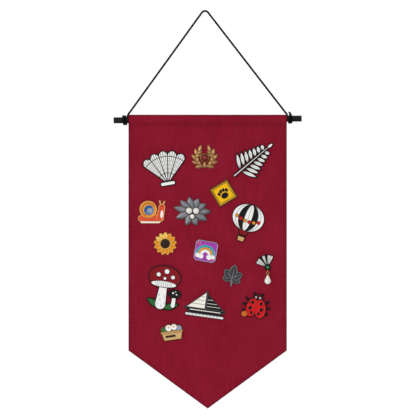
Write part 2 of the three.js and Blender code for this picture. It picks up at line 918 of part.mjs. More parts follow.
// What is set in the pins, by the name of the pin: stones and pearls with their places and diameters.
const SETTINGS = {
  wreath: [{ name: "wreath_cabochon", at: [0, 0], diameter: CABOCHON_DIAMETER, colour: COLOURS.ruby }],
  fan: [{ name: "fan_stone", at: [0, FAN_PIVOT], diameter: FAN_STONE_DIAMETER, colour: COLOURS.emerald }],
  spray: PEARL_PLACES.map((at, i) => ({
    name: `spray_pearl_${i + 1}`,
    at,
    diameter: PEARL_DIAMETERS[i],
    colour: COLOURS.pearl,
  })),
};

// The loop below the fan stands edge on, so that the drop's ring hangs on it facing front, clear of the cloth.
const LOOP_BELOW = FAN_STONE + 2 * RIM;
const LOOP_RISE = (LOOP_DIAMETER + LOOP_WIRE) / 2 + SEAT;

function fanLoop(pin) {
  const upright = ring(LOOP_DIAMETER).rotate([0, 90, -pin.turn]);
  const hang = new THREE.Vector2(0, -LOOP_BELOW).rotateAround(new THREE.Vector2(), -radians(pin.turn));
  return upright.translate(hang.x, FAN_PIVOT + hang.y, LOOP_RISE);
}

for (const pin of PINS) {
  const settings = SETTINGS[pin.name] ?? [];
  const seats = settings.map(({ at, diameter }) => setting(...at, diameter));
  const loops = pin.name === "fan" ? [fanLoop(pin)] : [];
  const plate = withSettings(joined([badge(pin), ...loops]), seats);
  stand(place(`${pin.name}_pin`, geometryOf(plate), pin.look, banner), pin, [0, 0], PIN_SEAT);
  for (const { name, at, diameter, colour } of settings) {
    const stone = place(name, domeGeometry(diameter), enamel(colour), banner);
    stand(stone, pin, at, PIN_SEAT + PLATE + SEAT);
  }
  pin.posts.forEach((at, i) => {
    const suffix = pin.posts.length > 1 ? `_${i + 1}` : "";
    const clutch = place(`${pin.name}_clutch${suffix}`, clutchGeometry(), matte(COLOURS.rubber), banner);
    stand(clutch, pin, at, -PIN_SEAT);
  });
}

// A flattened pearl drop below its ring, hanging along -Y from the origin, where the loop carries the ring.
function dropGeometry() {
  const radius = DROP_DIAMETER / 2;
  const neck = LOOP_WIRE;
  const top = -DROP_RING_DIAMETER - LOOP_WIRE / 2;
  const belly = top - DROP_LENGTH + radius;
  const sides = Array.from({ length: 5 }, (_, i) => {
    const angle = ((i - 4) * Math.PI) / 8;
    return [radius * Math.cos(angle), belly + radius * Math.sin(angle)];
  });
  sides[0][0] = 0;
  const shoulder = [radius * 0.72, belly + radius * 0.9];
  const profile = [...sides, shoulder, [neck, top], [neck, top + LOOP_WIRE], [0, top + LOOP_WIRE]];
  const pearl = turned(profile, 12).rotate([-90, 0, 0]).scale([1, 1, DROP_FLATNESS]);
  return geometryOf(pearl.add(ring(DROP_RING_DIAMETER).translate(0, -DROP_RING_DIAMETER / 2, 0)));
}

const fanPin = PINS.find(({ name }) => name === "fan");
const drop = place("pearl_drop", dropGeometry(), enamel(COLOURS.pearl), banner);
const hook = inBanner(fanPin, [0, FAN_PIVOT]);
const wireRest = LOOP_BELOW + LOOP_DIAMETER / 2 - LOOP_WIRE - SEAT;
drop.rotation.x = Math.PI / 2;
drop.position.set(hook.x, -PIN_SEAT - LOOP_RISE, hook.y - wireRest);

export default group;
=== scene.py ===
# %% [markdown]
# # A pin display banner
# The real thing is a canvas pennant on a black rod. A cord hangs it from one nail, and a collection
# of enamel pins is pushed through the cloth and held by soft clutches behind it. The solids of all
# its pieces were made first. They are loaded here as a fixed frame, in metres, with +Z up and the
# front facing -Y, and each visible piece is then made at the place of its solid.

# %% Load the frame
import math

import bpy
import numpy as np
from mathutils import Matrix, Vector


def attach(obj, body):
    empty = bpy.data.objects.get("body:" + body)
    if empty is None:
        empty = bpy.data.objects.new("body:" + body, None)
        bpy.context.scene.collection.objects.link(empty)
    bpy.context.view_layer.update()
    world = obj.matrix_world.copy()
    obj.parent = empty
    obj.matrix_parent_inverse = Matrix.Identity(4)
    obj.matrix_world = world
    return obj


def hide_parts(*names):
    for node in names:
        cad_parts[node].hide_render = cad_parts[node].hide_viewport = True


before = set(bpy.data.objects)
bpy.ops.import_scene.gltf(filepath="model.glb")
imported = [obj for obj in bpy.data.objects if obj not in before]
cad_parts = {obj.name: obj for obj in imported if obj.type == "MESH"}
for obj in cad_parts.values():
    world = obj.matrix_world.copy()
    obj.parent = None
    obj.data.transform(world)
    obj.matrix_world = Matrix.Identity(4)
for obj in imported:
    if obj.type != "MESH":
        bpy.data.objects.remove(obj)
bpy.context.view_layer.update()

MM = 0.001
scene = bpy.context.scene
scene.view_settings.view_transform = "Standard"

# %% [markdown]
# ## Camera
# The picture was taken from straight ahead with a long lens, so that the sides of the banner stay
# parallel. A camera three metres away does the same. Its focal length follows from what one pixel
# covers at the cloth.

# %% Camera
PICTURE_PIXELS = 416
PIXEL = 1.27 * MM
VIEW_DISTANCE = 3.0
NAIL_PIXEL = (205.0, 12.03)

camera = bpy.data.cameras.new("camera")
camera.sensor_width = 36
camera.lens = camera.sensor_width * VIEW_DISTANCE / (PICTURE_PIXELS * PIXEL)
eye = bpy.data.objects.new("camera", camera)
eye.location = (
    (PICTURE_PIXELS / 2 - NAIL_PIXEL[0]) * PIXEL,
    -VIEW_DISTANCE,
    (NAIL_PIXEL[1] - PICTURE_PIXELS / 2) * PIXEL,
)
eye.rotation_euler = (math.pi / 2, 0, 0)
scene.collection.objects.link(eye)
scene.camera = eye
print("camera: focal length", round(camera.lens, 1), "mm")

# %% [markdown]
# ## A white studio
# A product picture has soft light from all round and a pure white ground. The world gives an even
# grey light, and rays that come straight from the camera, or by way of a mirror or glass, see white
# instead. Three wide lamps, one of them behind the banner, add a little direction. A node helper
# keeps every material short: it makes a node, sets its options, and fills or links its inputs.

# %% World
def add_node(tree, kind, inputs=None, **options):
    """A new node with its options set; an input gets a value, or a link if it is given a socket."""
    node = tree.nodes.new(kind)
    for key, value in options.items():
        setattr(node, key, value)
    for key, value in (inputs or {}).items():
        if isinstance(value, bpy.types.NodeSocket):
            tree.links.new(value, node.inputs[key])
        else:
            node.inputs[key].default_value = value
    return node


def math_node(tree, operation, *values):
    """The result of one step of arithmetic on numbers or sockets."""
    inputs = dict(enumerate(values))
    return add_node(tree, "ShaderNodeMath", inputs, operation=operation).outputs[0]


SOFT_LIGHT = 0.5
WHITE = (1, 1, 1, 1)

world = bpy.data.worlds.new("studio")
world.use_nodes = True
air = world.node_tree
air.nodes.clear()
scene.world = world
rays = add_node(air, "ShaderNodeLightPath").outputs
mirrored = math_node(air, "MAXIMUM", rays["Is Glossy Ray"], rays["Is Transmission Ray"])
seen = math_node(air, "MAXIMUM", rays["Is Camera Ray"], mirrored)
ambient = add_node(air, "ShaderNodeBackground", {"Color": WHITE, "Strength": SOFT_LIGHT})
ground = add_node(air, "ShaderNodeBackground", {"Color": WHITE, "Strength": 1.0})
sky = add_node(
    air, "ShaderNodeMixShader", {0: seen, 1: ambient.outputs[0], 2: ground.outputs[0]}
)
add_node(air, "ShaderNodeOutputWorld", {"Surface": sky.outputs[0]})
print("world: soft light", SOFT_LIGHT)

# %% Lamps
AIM = np.array([0.003, 0.0, -0.30])
LAMP_SIZE = 1.4


def soft_lamp(name, place, watts):
    """A square area lamp at a place, its -Z axis turned to point at the middle of the banner."""
    lamp = bpy.data.lights.new(name, "AREA")
    lamp.size = LAMP_SIZE
    lamp.energy = watts
    holder = bpy.data.objects.new(name, lamp)
    holder.location = place
    toward = Vector((AIM - np.array(place)).tolist())
    holder.rotation_euler = toward.to_track_quat("-Z", "Y").to_euler()
    scene.collection.objects.link(holder)


soft_lamp("key_lamp", (-0.9, -1.9, 0.2), 19)
soft_lamp("fill_lamp", (1.3, -1.8, 0.1), 3.5)
soft_lamp("back_lamp", (0.3, 1.8, 0.9), 14)
print("lamps:", [lamp.name for lamp in bpy.data.lights])

# %% [markdown]
# ## The floor
# The banner hangs above a plain pale floor. It lies below the picture, and shows only from other
# sides.

# %% Floor
FLOOR_DROP = 0.78
FLOOR_HALF = 1.6


def paint(red, green, blue):
    """A colour given as 0 to 255 on a screen, turned into the linear numbers of a shader."""
    share = np.array([red, green, blue]) / 255
    linear = np.where(share <= 0.04045, share / 12.92, ((share + 0.055) / 1.055) ** 2.4)
    return (*linear.tolist(), 1.0)


def new_finish(name, colour, roughness, **sockets):
    """A material with one Principled shader; plain numbers are set on the shader's own sockets."""
    material = bpy.data.materials.new(name)
    material.use_nodes = True
    shader = material.node_tree.nodes["Principled BSDF"]
    shader.inputs["Base Color"].default_value = colour
    shader.inputs["Roughness"].default_value = roughness
    for key, value in sockets.items():
        shader.inputs[key.replace("_", " ")].default_value = value
    return material


def drive(material, **sockets):
    """Sockets of a material's shader linked to what changes over the surface."""
    shader = material.node_tree.nodes["Principled BSDF"]
    for key, source in sockets.items():
        material.node_tree.links.new(source, shader.inputs[key.replace("_", " ")])


def speckle(material, scale, detail=3.0, stretch=(1, 1, 1)):
    """Noise on Object coordinates, scaled apart along the three axes, from 0 to 1."""
    tree = material.node_tree
    place = add_node(tree, "ShaderNodeTexCoord").outputs["Object"]
    mapped = add_node(tree, "ShaderNodeMapping", {"Vector": place, "Scale": stretch}).outputs[0]
    inputs = {"Vector": mapped, "Scale": scale, "Detail": detail}
    return add_node(tree, "ShaderNodeTexNoise", inputs).outputs[0]


def ramp(material, value, low, high):
    """A colour that runs from low to high as a value goes from 0.3 to 0.7."""
    node = add_node(material.node_tree, "ShaderNodeValToRGB", {0: value})
    for element, position, colour in zip(node.color_ramp.elements, (0.3, 0.7), (low, high)):
        element.position = position
        element.color = colour
    return node.outputs[0]


def between(material, value, low, high):
    """A number that runs from low to high as a value goes from 0 to 1."""
    node = add_node(material.node_tree, "ShaderNodeMapRange", {0: value, 3: low, 4: high})
    return node.outputs[0]


def bump(material, height, depth):
    """A bump of some depth in metres from a height of 0 to 1."""
    inputs = {"Height": height, "Distance": depth, "Strength": 1.0}
    return add_node(material.node_tree, "ShaderNodeBump", inputs).outputs[0]


floor_finish = new_finish("pale_floor", paint(236, 235, 233), 0.9)
floor_cloud = speckle(floor_finish, 6)
floor_tone = ramp(floor_finish, floor_cloud, paint(234, 233, 231), paint(238, 237, 235))
drive(floor_finish, Base_Color=floor_tone)
floor_mesh = bpy.data.meshes.new("floor")
floor_corners = np.array([[-1, -1], [1, -1], [1, 1], [-1, 1]]) * FLOOR_HALF
floor_points = np.c_[floor_corners, np.full(4, -FLOOR_DROP)].tolist()
floor_mesh.from_pydata(floor_points, [], [[0, 1, 2, 3]])
floor_mesh.materials.append(floor_finish)
floor = bpy.data.objects.new("floor", floor_mesh)
scene.collection.objects.link(floor)
print("floor:", FLOOR_DROP, "m below the nail")

# %% [markdown]
# ## Two ways to make a surface
# Most pieces here are rings of points with faces between them: a tube is a ring carried along a
# path, and a turned piece is a ring whose radius changes along its axis. Pieces of cloth and metal
# plate are a front and a back of the same grid, joined round their border. Both are worked out as
# whole arrays.

# %% Skins and shells
def skin(rings, ends="poles"):
    """Faces over rings of points, an array of (ring, point, xyz).

    Each face joins two neighbours on a ring to the same two on the next ring. The ends are closed
    by a point in the middle of the first and the last ring, or the last ring joins the first.
    """
    count, sides, _ = rings.shape
    index = np.arange(count * sides).reshape(count, sides)
    if ends == "joined":
        index = np.concatenate([index, index[:1]])
    beside = np.roll(index, -1, axis=1)
    quads = np.stack([index[:-1], beside[:-1], beside[1:], index[1:]], axis=-1).reshape(-1, 4)
    points = rings.reshape(-1, 3)
    if ends == "joined":
        return points, [quads]
    poles = np.stack([rings[0].mean(axis=0), rings[-1].mean(axis=0)])
    pole = np.full(sides, len(points))
    first_fan = np.stack([pole, beside[0], index[0]], axis=1)
    last_fan = np.stack([pole + 1, index[-1], beside[-1]], axis=1)
    return np.concatenate([points, poles]), [quads, first_fan, last_fan]


def grid_quads(grid):
    """The values of a grid at the four corners of each square, in order round it."""
    corners = [grid[:-1, :-1], grid[:-1, 1:], grid[1:, 1:], grid[1:, :-1]]
    return np.stack(corners, axis=-1)


def shell(front, back):
    """A closed sheet from two grids of points, (row, column, xyz), joined all round their border.

    The columns of the front run to the left of its rows, seen from outside.
    """
    rows, columns, _ = front.shape
    index = np.arange(rows * columns).reshape(rows, columns)
    faces = grid_quads(index).reshape(-1, 4)
    sides = [index[0, :-1], index[:-1, -1], index[-1, :0:-1], index[:0:-1, 0]]
    border = np.concatenate(sides)
    after = np.roll(border, -1)
    behind = rows * columns
    rim = np.stack([after, border, border + behind, after + behind], axis=1)
    points = np.concatenate([front.reshape(-1, 3), back.reshape(-1, 3)])
    return points, [faces, faces[:, ::-1] + behind, rim]


def ring_points(radius, sides):
    """A circle in a plane, with its points in anticlockwise order, as (side, 2)."""
    angle = np.arange(sides) * (2 * math.pi / sides)
    return np.stack([np.cos(angle), np.sin(angle)], axis=1) * radius


def turned(profile, sides):
    """A profile of (radius, height) pairs turned about Z, from its lower end to its upper end.

    A point of the ring at angle a is (radius cos a, radius sin a, height).
    """
    profile = np.array(profile, float)
    rings = np.empty((len(profile), sides, 3))
    rings[:, :, :2] = profile[:, None, :1] * ring_points(1.0, sides)
    rings[:, :, 2] = profile[:, 1:]
    return skin(rings)


def wire_ring(radius, wire, around=36, sides=12):
    """A round wire bent into a ring in the plane of X and Y.

    At angle a the wire's circle lies in the plane of Z and the direction (cos a, sin a, 0).
    """
    circle = ring_points(1.0, around)[:, None, :]
    section = ring_points(wire, sides)[None, :, :]
    rings = np.empty((around, sides, 3))
    rings[:, :, :2] = circle * (radius + section[:, :, :1])
    rings[:, :, 2] = -section[:, :, 1]
    return skin(rings, ends="joined")


def make_piece(name, parts, finish, body, nodes=(), attributes=None, sharp=38):
    """One object from parts of (points in metres, faces), with point attributes, on a body."""
    starts = np.cumsum([0] + [len(points) for points, _ in parts])
    faces = []
    for start, (_, groups) in zip(starts, parts):
        for group in groups:
            faces += (group + start).tolist()
    mesh = bpy.data.meshes.new(name)
    mesh.from_pydata(np.concatenate([points for points, _ in parts]).tolist(), [], faces)
    for key, values in (attributes or {}).items():
        kind, field = ("FLOAT_COLOR", "color") if values.ndim == 2 else ("FLOAT", "value")
        layer = mesh.attributes.new(key, kind, "POINT")
        layer.data.foreach_set(field, values.astype(np.float32).ravel())
    mesh.shade_smooth()
    mesh.set_sharp_from_angle(angle=math.radians(sharp))
    mesh.materials.append(finish)
    piece = bpy.data.objects.new(name, mesh)
    scene.collection.objects.link(piece)
    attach(piece, body)
    if nodes:
        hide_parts(*nodes)
    return piece


print("skins and shells ready")

# %% [markdown]
# ## The cord
# One black braided cord does all the hanging. It is wound round the left end of the rod, rises
# behind it to the nail, comes down to the right end and is wound there too, with its cut tail
# standing up in front. The windings follow a formula, an angle round the rod with a small step
# outwards. The free stretch is a round bend over the nail with a straight leg on either side,
# because the weight of the banner pulls it taut.

# %% Route of the cord
CORD_DIAMETER = 2.4
ROD_RADIUS = 3.9
ROD_TILT = math.radians(0.55)
ROD_MIDDLE = np.array([3.35, 0.0, -136.4])
HALF_WIDTH = 100.5
HITCH_RADIUS = ROD_RADIUS + CORD_DIAMETER / 2 + 0.1
HITCH_PITCH = CORD_DIAMETER + 0.08
HITCH_INNER = HALF_WIDTH + 1.2 + CORD_DIAMETER / 2
TURN_POINTS = 24
LEFT_TURNS, LEFT_TAIL = 2, CORD_DIAMETER
RIGHT_TURNS, RIGHT_TAIL = 1.5, 8.6
TAIL_FOOT, TAIL_STEP = 1.4, 2
TAIL_LEAN, LEANS_FROM = 0.05, 4
NAIL_BEND = 4.9
NAIL_TOP = CORD_DIAMETER / 2 + 0.15
BEND_LEANS = np.radians([-54, -27, 0, 27, 54])
LEG_SHARES = np.array([0.02, 0.05, 0.12, 0.3, 0.5, 0.7, 0.9, 0.98])


def on_rod(points):
    """Points in the rod's own frame, with X along it, tilted and carried to its place."""
    x, y, z = np.moveaxis(np.asarray(points, float), -1, 0)
    c, s = math.cos(ROD_TILT), math.sin(ROD_TILT)
    return np.stack([c * x - s * z, y, s * x + c * z], axis=-1) + ROD_MIDDLE


def hitch(side, turns, tail):
    """Points along a winding, from its tail to the place where the cord leaves the rod behind it.

    At angle a from the back of the rod, over its top, the point is
    (inner - side pitch a / 2 pi, r cos a, r sin a). A long tail leans a little inwards.
    """
    angle = np.linspace(-2 * math.pi * turns, 0, int(TURN_POINTS * turns) + 1)
    across = side * (HITCH_INNER - HITCH_PITCH * angle / (2 * math.pi))
    wound = np.stack([across, HITCH_RADIUS * np.cos(angle), HITCH_RADIUS * np.sin(angle)], axis=1)
    run = np.linspace(tail, TAIL_FOOT, max(2, round(tail / TAIL_STEP)))
    upward = -np.sign(np.cos(angle[0]))
    lean = -side * TAIL_LEAN * run**2 * (tail > LEANS_FROM)
    tail_points = wound[0] + np.stack([lean, 0 * run, upward * run], axis=1)
    return on_rod(np.concatenate([tail_points, wound]))


def leg(end, shoulder):
    """Points of a straight leg to the nail's bend, from above a hitch's end at the rod's top."""
    foot = np.array([end[0], end[1], ROD_MIDDLE[2] + ROD_RADIUS])
    return foot + LEG_SHARES[:, None] * (shoulder - foot)


bend_level = NAIL_TOP + NAIL_BEND * (np.cos(BEND_LEANS) - 1)
over_nail = np.stack([NAIL_BEND * np.sin(BEND_LEANS), 0 * BEND_LEANS, bend_level], axis=1)
left_hitch = hitch(-1, LEFT_TURNS, LEFT_TAIL)
right_hitch = hitch(1, RIGHT_TURNS, RIGHT_TAIL)
left_leg = leg(left_hitch[-1], over_nail[0])
right_leg = leg(right_hitch[-1], over_nail[-1])
route = [left_hitch, left_leg, over_nail, right_leg[::-1], right_hitch[::-1]]
CORD_POINTS = np.concatenate(route) * MM
print("cord route:", len(CORD_POINTS), "points")

# %% [markdown]
# A smooth curve through points that lie at uneven distances needs slopes that allow for those
# distances. Between two points the curve is a cubic with the right slope at both ends. The tube is
# then a ring that stays square to the curve, with its radius raised a little along two sets of
# strands that cross: the braid.

# %% Braided cord
CORD_STEP = 0.36 * MM
CORD_SIDES = 24
CURVE_STEPS = 64
BRAID_LAY = 5.2 * MM
BRAID_STRANDS = 4
BRAID_RELIEF = 0.08
WOUND_RINGS = 60
SIDE_TURN_FOOT, SIDE_TURN_RISE = (ROD_MIDDLE[2] + 1.5) * MM, 8 * MM
ROD_FRONT = -2 * MM


def run_of(points):
    """The length along a line of points, from zero at the first of them."""
    step = np.linalg.norm(np.diff(points, axis=0), axis=1)
    return np.concatenate([[0], np.cumsum(step)])


def smooth_curve(points, step):
    """Points at even steps on a cubic curve through the given points.

    The slope at a point is the mean of the slopes of its two chords, each weighted by the length
    of the other chord.
    """
    chord = np.diff(points, axis=0)
    length = np.linalg.norm(chord, axis=1, keepdims=True)
    slope = chord / length
    inner = (slope[:-1] * length[1:] + slope[1:] * length[:-1]) / (length[:-1] + length[1:])
    tangent = np.concatenate([slope[:1], inner, slope[-1:]])
    t = np.linspace(0, 1, CURVE_STEPS + 1)[:-1, None, None]
    start, end = points[:-1], points[1:]
    curve = (
        (2 * t**3 - 3 * t**2 + 1) * start
        + (t**3 - 2 * t**2 + t) * length * tangent[:-1]
        + (3 * t**2 - 2 * t**3) * end
        + (t**3 - t**2) * length * tangent[1:]
    )
    dense = np.concatenate([curve.transpose(1, 0, 2).reshape(-1, 3), points[-1:]])
    run = run_of(dense)
    even = np.linspace(0, run[-1], int(run[-1] / step) + 1)
    return np.stack([np.interp(even, run, dense[:, k]) for k in range(3)], axis=1), even


def tube(path, radius, first_side):
    """Rings square to a path; the first side of each points as near as it can to a direction.

    radius is (ring, side). The last rings shrink as a half circle does, which rounds the ends.
    """
    along = np.gradient(path, axis=0)
    along /= np.linalg.norm(along, axis=1, keepdims=True)
    side = first_side - (first_side * along).sum(axis=1, keepdims=True) * along
    side /= np.linalg.norm(side, axis=1, keepdims=True)
    other = np.cross(along, side)
    run = run_of(path)
    from_end = np.minimum(run, run[-1] - run) / radius.mean()
    shrink = np.sqrt(1 - np.clip(1 - from_end, 0, 0.98) ** 2)
    circle = ring_points(1.0, radius.shape[1])
    spread = circle[:, 0, None] * side[:, None] + circle[:, 1, None] * other[:, None]
    return path[:, None] + (radius * shrink[:, None])[..., None] * spread


def from_points(material, name, output="Fac"):
    """What a material reads from an attribute of the mesh's points."""
    return add_node(material.node_tree, "ShaderNodeAttribute", attribute_name=name).outputs[output]


# A ring's first side lies along the rod on the windings, and turns to the back on the way up,
# because it must never point along the cord.
cord_path, cord_run = smooth_curve(CORD_POINTS, CORD_STEP)
ring_number = np.arange(len(cord_path))
rise = np.clip((cord_path[:, 2] - SIDE_TURN_FOOT) / SIDE_TURN_RISE, 0, 1)
free = (ring_number > WOUND_RINGS) & (ring_number < len(cord_path) - WOUND_RINGS)
side_turn = np.where(free & (cord_path[:, 1] > ROD_FRONT), rise, 0) * (math.pi / 2)
cord_side = np.stack([np.cos(side_turn), np.sin(side_turn), 0 * side_turn], axis=1)
around = np.arange(CORD_SIDES) * (2 * math.pi / CORD_SIDES)
lay = cord_run[:, None] * (2 * math.pi / BRAID_LAY)
crossing = [np.cos(BRAID_STRANDS * around + way * BRAID_STRANDS * lay) for way in (1, -1)]
strands = np.maximum(*crossing)
cord_radius = CORD_DIAMETER / 2 * MM * (1 + BRAID_RELIEF * strands)

# Painted shade and highlight on the braid: the colour is darker in the grooves between the strands
# and lighter on their raised tops, following the braid's relief.
braid = new_finish("black_braid", paint(10, 10, 11), 0.8, Specular_IOR_Level=0.06)
drive(
    braid,
    Base_Color=ramp(braid, from_points(braid, "strand_shade"), paint(5, 5, 6), paint(16, 16, 17)),
    Normal=bump(braid, speckle(braid, 9000, 2), 0.03 * MM),
)
strand_shade_tone = np.append(strands.ravel() * 0.5 + 0.5, [0.5, 0.5])
cord = make_piece(
    "braided_cord",
    [skin(tube(cord_path, cord_radius, cord_side))],
    braid,
    "hanger",
    ["hanger_cord", "left_hitch", "right_hitch"],
    {"strand_shade": strand_shade_tone},
    sharp=180,
)
print("cord:", round(float(cord_run[-1]), 4), "m long")

# %% [markdown]
# ## The rod
# A round dowel, lacquered black. Its section never changes, so it is a circle carried along a line,
# and only the ends need care: the edge is broken by a small round, and the end face dips a little
# as cut wood does. The lacquer is satin, with the grain of the wood just showing as fine lines
# along it.

# %% Rod
ROD_HALF = 119.4
ROD_ROUND = 0.8
END_DIP = [[0.6, 0.06], [2.2, 0.03]]
BARREL_RINGS, BARREL_INSET = 40, 4
ROD_SIDES = 56

quarter = np.linspace(0, math.pi / 2, 7)
edge_radius = ROD_RADIUS - ROD_ROUND + ROD_ROUND * np.sin(quarter)
edge_depth = ROD_ROUND - ROD_ROUND * np.cos(quarter)
left_end = np.concatenate([END_DIP, np.stack([edge_radius, edge_depth], axis=1)]) - [0, ROD_HALF]
barrel = np.linspace(-ROD_HALF + BARREL_INSET, ROD_HALF - BARREL_INSET, BARREL_RINGS)
middle = np.c_[np.full(BARREL_RINGS, ROD_RADIUS), barrel]
rod_profile = np.concatenate([left_end, middle, left_end[::-1] * [1, -1]])
rod_points, rod_faces = turned(rod_profile, ROD_SIDES)
rod_points = on_rod(rod_points[:, [2, 0, 1]]) * MM

lacquer = new_finish("black_lacquer", paint(20, 20, 21), 0.42, Specular_IOR_Level=0.12)
grain = speckle(lacquer, 60, 4, stretch=(1, 22, 22))
drive(
    lacquer,
    Base_Color=ramp(lacquer, grain, paint(12, 12, 13), paint(26, 26, 27)),
    Roughness=between(lacquer, grain, 0.34, 0.52),
    Normal=bump(lacquer, grain, 0.05 * MM),
)
make_piece("black_rod", [(rod_points, rod_faces)], lacquer, "hanger", ["rod"])
print("rod:", 2 * ROD_HALF, "mm long")

# %% [markdown]
# ## The canvas
# The pennant is one cut of canvas. Its sides and point are turned to the back and sewn, and its top
# goes round the rod and is sewn down behind, which makes the sleeve. Seen from the side the cloth
# is a single line: up the flap behind, over the rod, down the front. That line is the profile, and
# it is carried across the width. The columns of the grid end on the sloping edge, so the point
# needs no extra piece. Where the hem lies behind, the back of the sheet stands one thickness
# further out.

# %% Outline of the canvas
CLOTH = 0.9
SLEEVE_RADIUS = 5.56
SLEEVE_TOP = 6.0148
SEAM = -8.2
PANEL_TOP = SEAM - 1.0
FLAP_END = -15.4
FLAP_Y = CLOTH + 0.05
FLAP_ROWS = 14
HEM = 5.0
CORNER = SLEEVE_TOP - 299.6
POINT_DROP = 73.6
SLOPE_COS = math.cos(math.atan2(POINT_DROP, HALF_WIDTH))
FINE_SIDE, FINE_SEAM, FINE_EDGE = 7.5, 5, 9.6


def bezier(start, control, end, count):
    """Points on a quadratic curve: the mean of two lines that slide along the legs of a corner."""
    t = np.linspace(0, 1, count)[:, None]
    start, control, end = np.array(start), np.array(control), np.array(end)
    return (1 - t) ** 2 * start + 2 * t * (1 - t) * control + t**2 * end


hip = SLEEVE_RADIUS * math.sqrt(0.5)
flap_z = np.linspace(FLAP_END, SEAM - 0.4, FLAP_ROWS)
flap = np.stack([np.full(FLAP_ROWS, FLAP_Y), flap_z], axis=1)
rising = bezier((FLAP_Y, SEAM), (FLAP_Y, FLAP_Y - 2 * hip), (hip, -hip), 9)[1:]
angle = np.linspace(-math.pi / 4, 5 * math.pi / 4, 61)[1:-1]
loop = np.stack([SLEEVE_RADIUS * np.cos(angle), SLEEVE_RADIUS * np.sin(angle)], axis=1)
falling = bezier((-hip, -hip), (0, -2 * hip), (0, PANEL_TOP), 12)
sleeve_line = np.concatenate([flap, rising, loop, falling])

near_side = np.linspace(HALF_WIDTH - FINE_SIDE, HALF_WIDTH, 31)
half_columns = np.concatenate([np.linspace(0, near_side[0], 38)[1:-1], near_side])
columns = np.concatenate([-half_columns[::-1], [0], half_columns])
lower_edge = CORNER - POINT_DROP * (1 - np.abs(columns) / HALF_WIDTH)
drop = PANEL_TOP - lower_edge
near_seam = np.linspace(0, FINE_SEAM, 8)[1:]
near_edge = np.linspace(FINE_EDGE, 0, 36)
middle_share = np.linspace(0, 1, 130)[1:-1]
below = np.concatenate([
    np.repeat(near_seam[:, None], len(columns), axis=1),
    FINE_SEAM + middle_share[:, None] * (drop - FINE_SEAM - FINE_EDGE),
    drop - near_edge[:, None],
])
print("canvas grid:", len(columns), "columns,", len(sleeve_line) + len(below), "rows")

# %% Canvas sheet
STITCH_INSET = 4.1
NO_EDGE = 99.0
SEAM_DENT, FLAP_DENT = 0.08, 0.16
CUT_ROUND, FOLD_ROUND = 0.4, 0.82
SLACK, SLACK_FROM, SLACK_TO, SLACK_WAVE = 1.1, 300, 365, 34
RIPPLE, RIPPLE_ACROSS, RIPPLE_DOWN = 0.09, 17, 31
BILLOW, BILLOW_ACROSS, BILLOW_DOWN = 0.06, 43, 27


def round_off(distance, radius):
    """How far a rounded border falls back at a distance from the edge: a quarter circle."""
    inward = np.clip(radius - distance, 0, radius)
    return radius - np.sqrt(np.clip(radius**2 - inward**2, 0, None))


def smooth_step(value, low, high):
    """0 below low, 1 above high, with no slope at either end."""
    t = np.clip((value - low) / (high - low), 0, 1)
    return t * t * (3 - 2 * t)


def bell(value, middle, breadth):
    """1 at the middle, and falling off smoothly on either side of it."""
    return np.exp(-(((value - middle) / breadth) ** 2))


def rows_of(sleeve_values, panel_values):
    """Values of the sleeve's rows, the same in every column, followed by those of the panel."""
    sleeve = np.repeat(sleeve_values[:, None], len(columns), axis=1)
    return np.concatenate([sleeve, panel_values])


upper = len(sleeve_line)
row = np.arange(upper + len(below))[:, None]
grid_x = np.broadcast_to(columns, (len(row), len(columns)))
line_y = rows_of(sleeve_line[:, 0], np.zeros(below.shape))
line_z = rows_of(sleeve_line[:, 1], PANEL_TOP - below)
to_side = HALF_WIDTH - np.abs(grid_x)
to_point = np.where(line_z < SEAM, (line_z - lower_edge) * SLOPE_COS, NO_EDGE)
edge = np.where(row >= upper, np.minimum(to_side, to_point), to_side)

heading = np.gradient(sleeve_line, axis=0)
heading /= np.linalg.norm(heading, axis=1, keepdims=True)
out_y = rows_of(heading[:, 1], -np.ones(below.shape))
out_z = rows_of(-heading[:, 0], np.zeros(below.shape))

in_front = line_y < CLOTH / 2
in_panel = smooth_step(-line_z, -SEAM - 1, -SEAM + 1.5) * in_front
hem = smooth_step(-edge, -HEM - 0.2, -HEM + 0.2) * in_panel
on_flap = (row < FLAP_ROWS) * smooth_step(-to_side, -HEM - 0.6, -HEM + 0.2)
line_y = line_y + CLOTH * on_flap
seam_dent = SEAM_DENT * bell(edge, STITCH_INSET, 0.55) * in_panel
flap_dent = FLAP_DENT * bell(line_z, SEAM + 0.3, 0.7) * in_front
fallen = round_off(edge, CUT_ROUND + (FOLD_ROUND - CUT_ROUND) * in_panel)
front_out = CLOTH / 2 - fallen - seam_dent - flap_dent
back_out = CLOTH / 2 + CLOTH * hem - fallen
slack = SLACK * smooth_step(-line_z, SLACK_FROM, SLACK_TO) * in_panel
ripple = RIPPLE * np.sin(grid_x / RIPPLE_ACROSS + 0.6) * np.sin(line_z / RIPPLE_DOWN)
billow = BILLOW * np.sin(grid_x / BILLOW_ACROSS - line_z / BILLOW_DOWN)
sway = (ripple + billow) * in_panel - slack * np.cos(grid_x / SLACK_WAVE + 0.5)


def cloth_side(offset):
    """The sheet's middle line moved outwards by an offset, with the soft waves of the panel."""
    points = [grid_x, line_y + offset * out_y + sway, line_z + offset * out_z]
    return (np.stack(points, axis=-1) + ROD_MIDDLE) * MM


cloth_points, cloth_faces = shell(cloth_side(front_out)[::-1], cloth_side(-back_out)[::-1])
print("canvas:", sum(len(group) for group in cloth_faces), "faces")

# %% [markdown]
# Plain weave has threads that go over and under each other in turn. A product of two sine waves,
# one along each set of threads, rises and sinks in the same way. It reads a flat map of the cloth
# in metres, so it goes round the sleeve with the cloth. Slubs, the thicker stretches of thread, are
# noise drawn out along either direction. Broader streaks down the cloth and a soft mottling stand
# for the dye.

# %% Canvas finish
THREAD_PITCH = 0.62 * MM

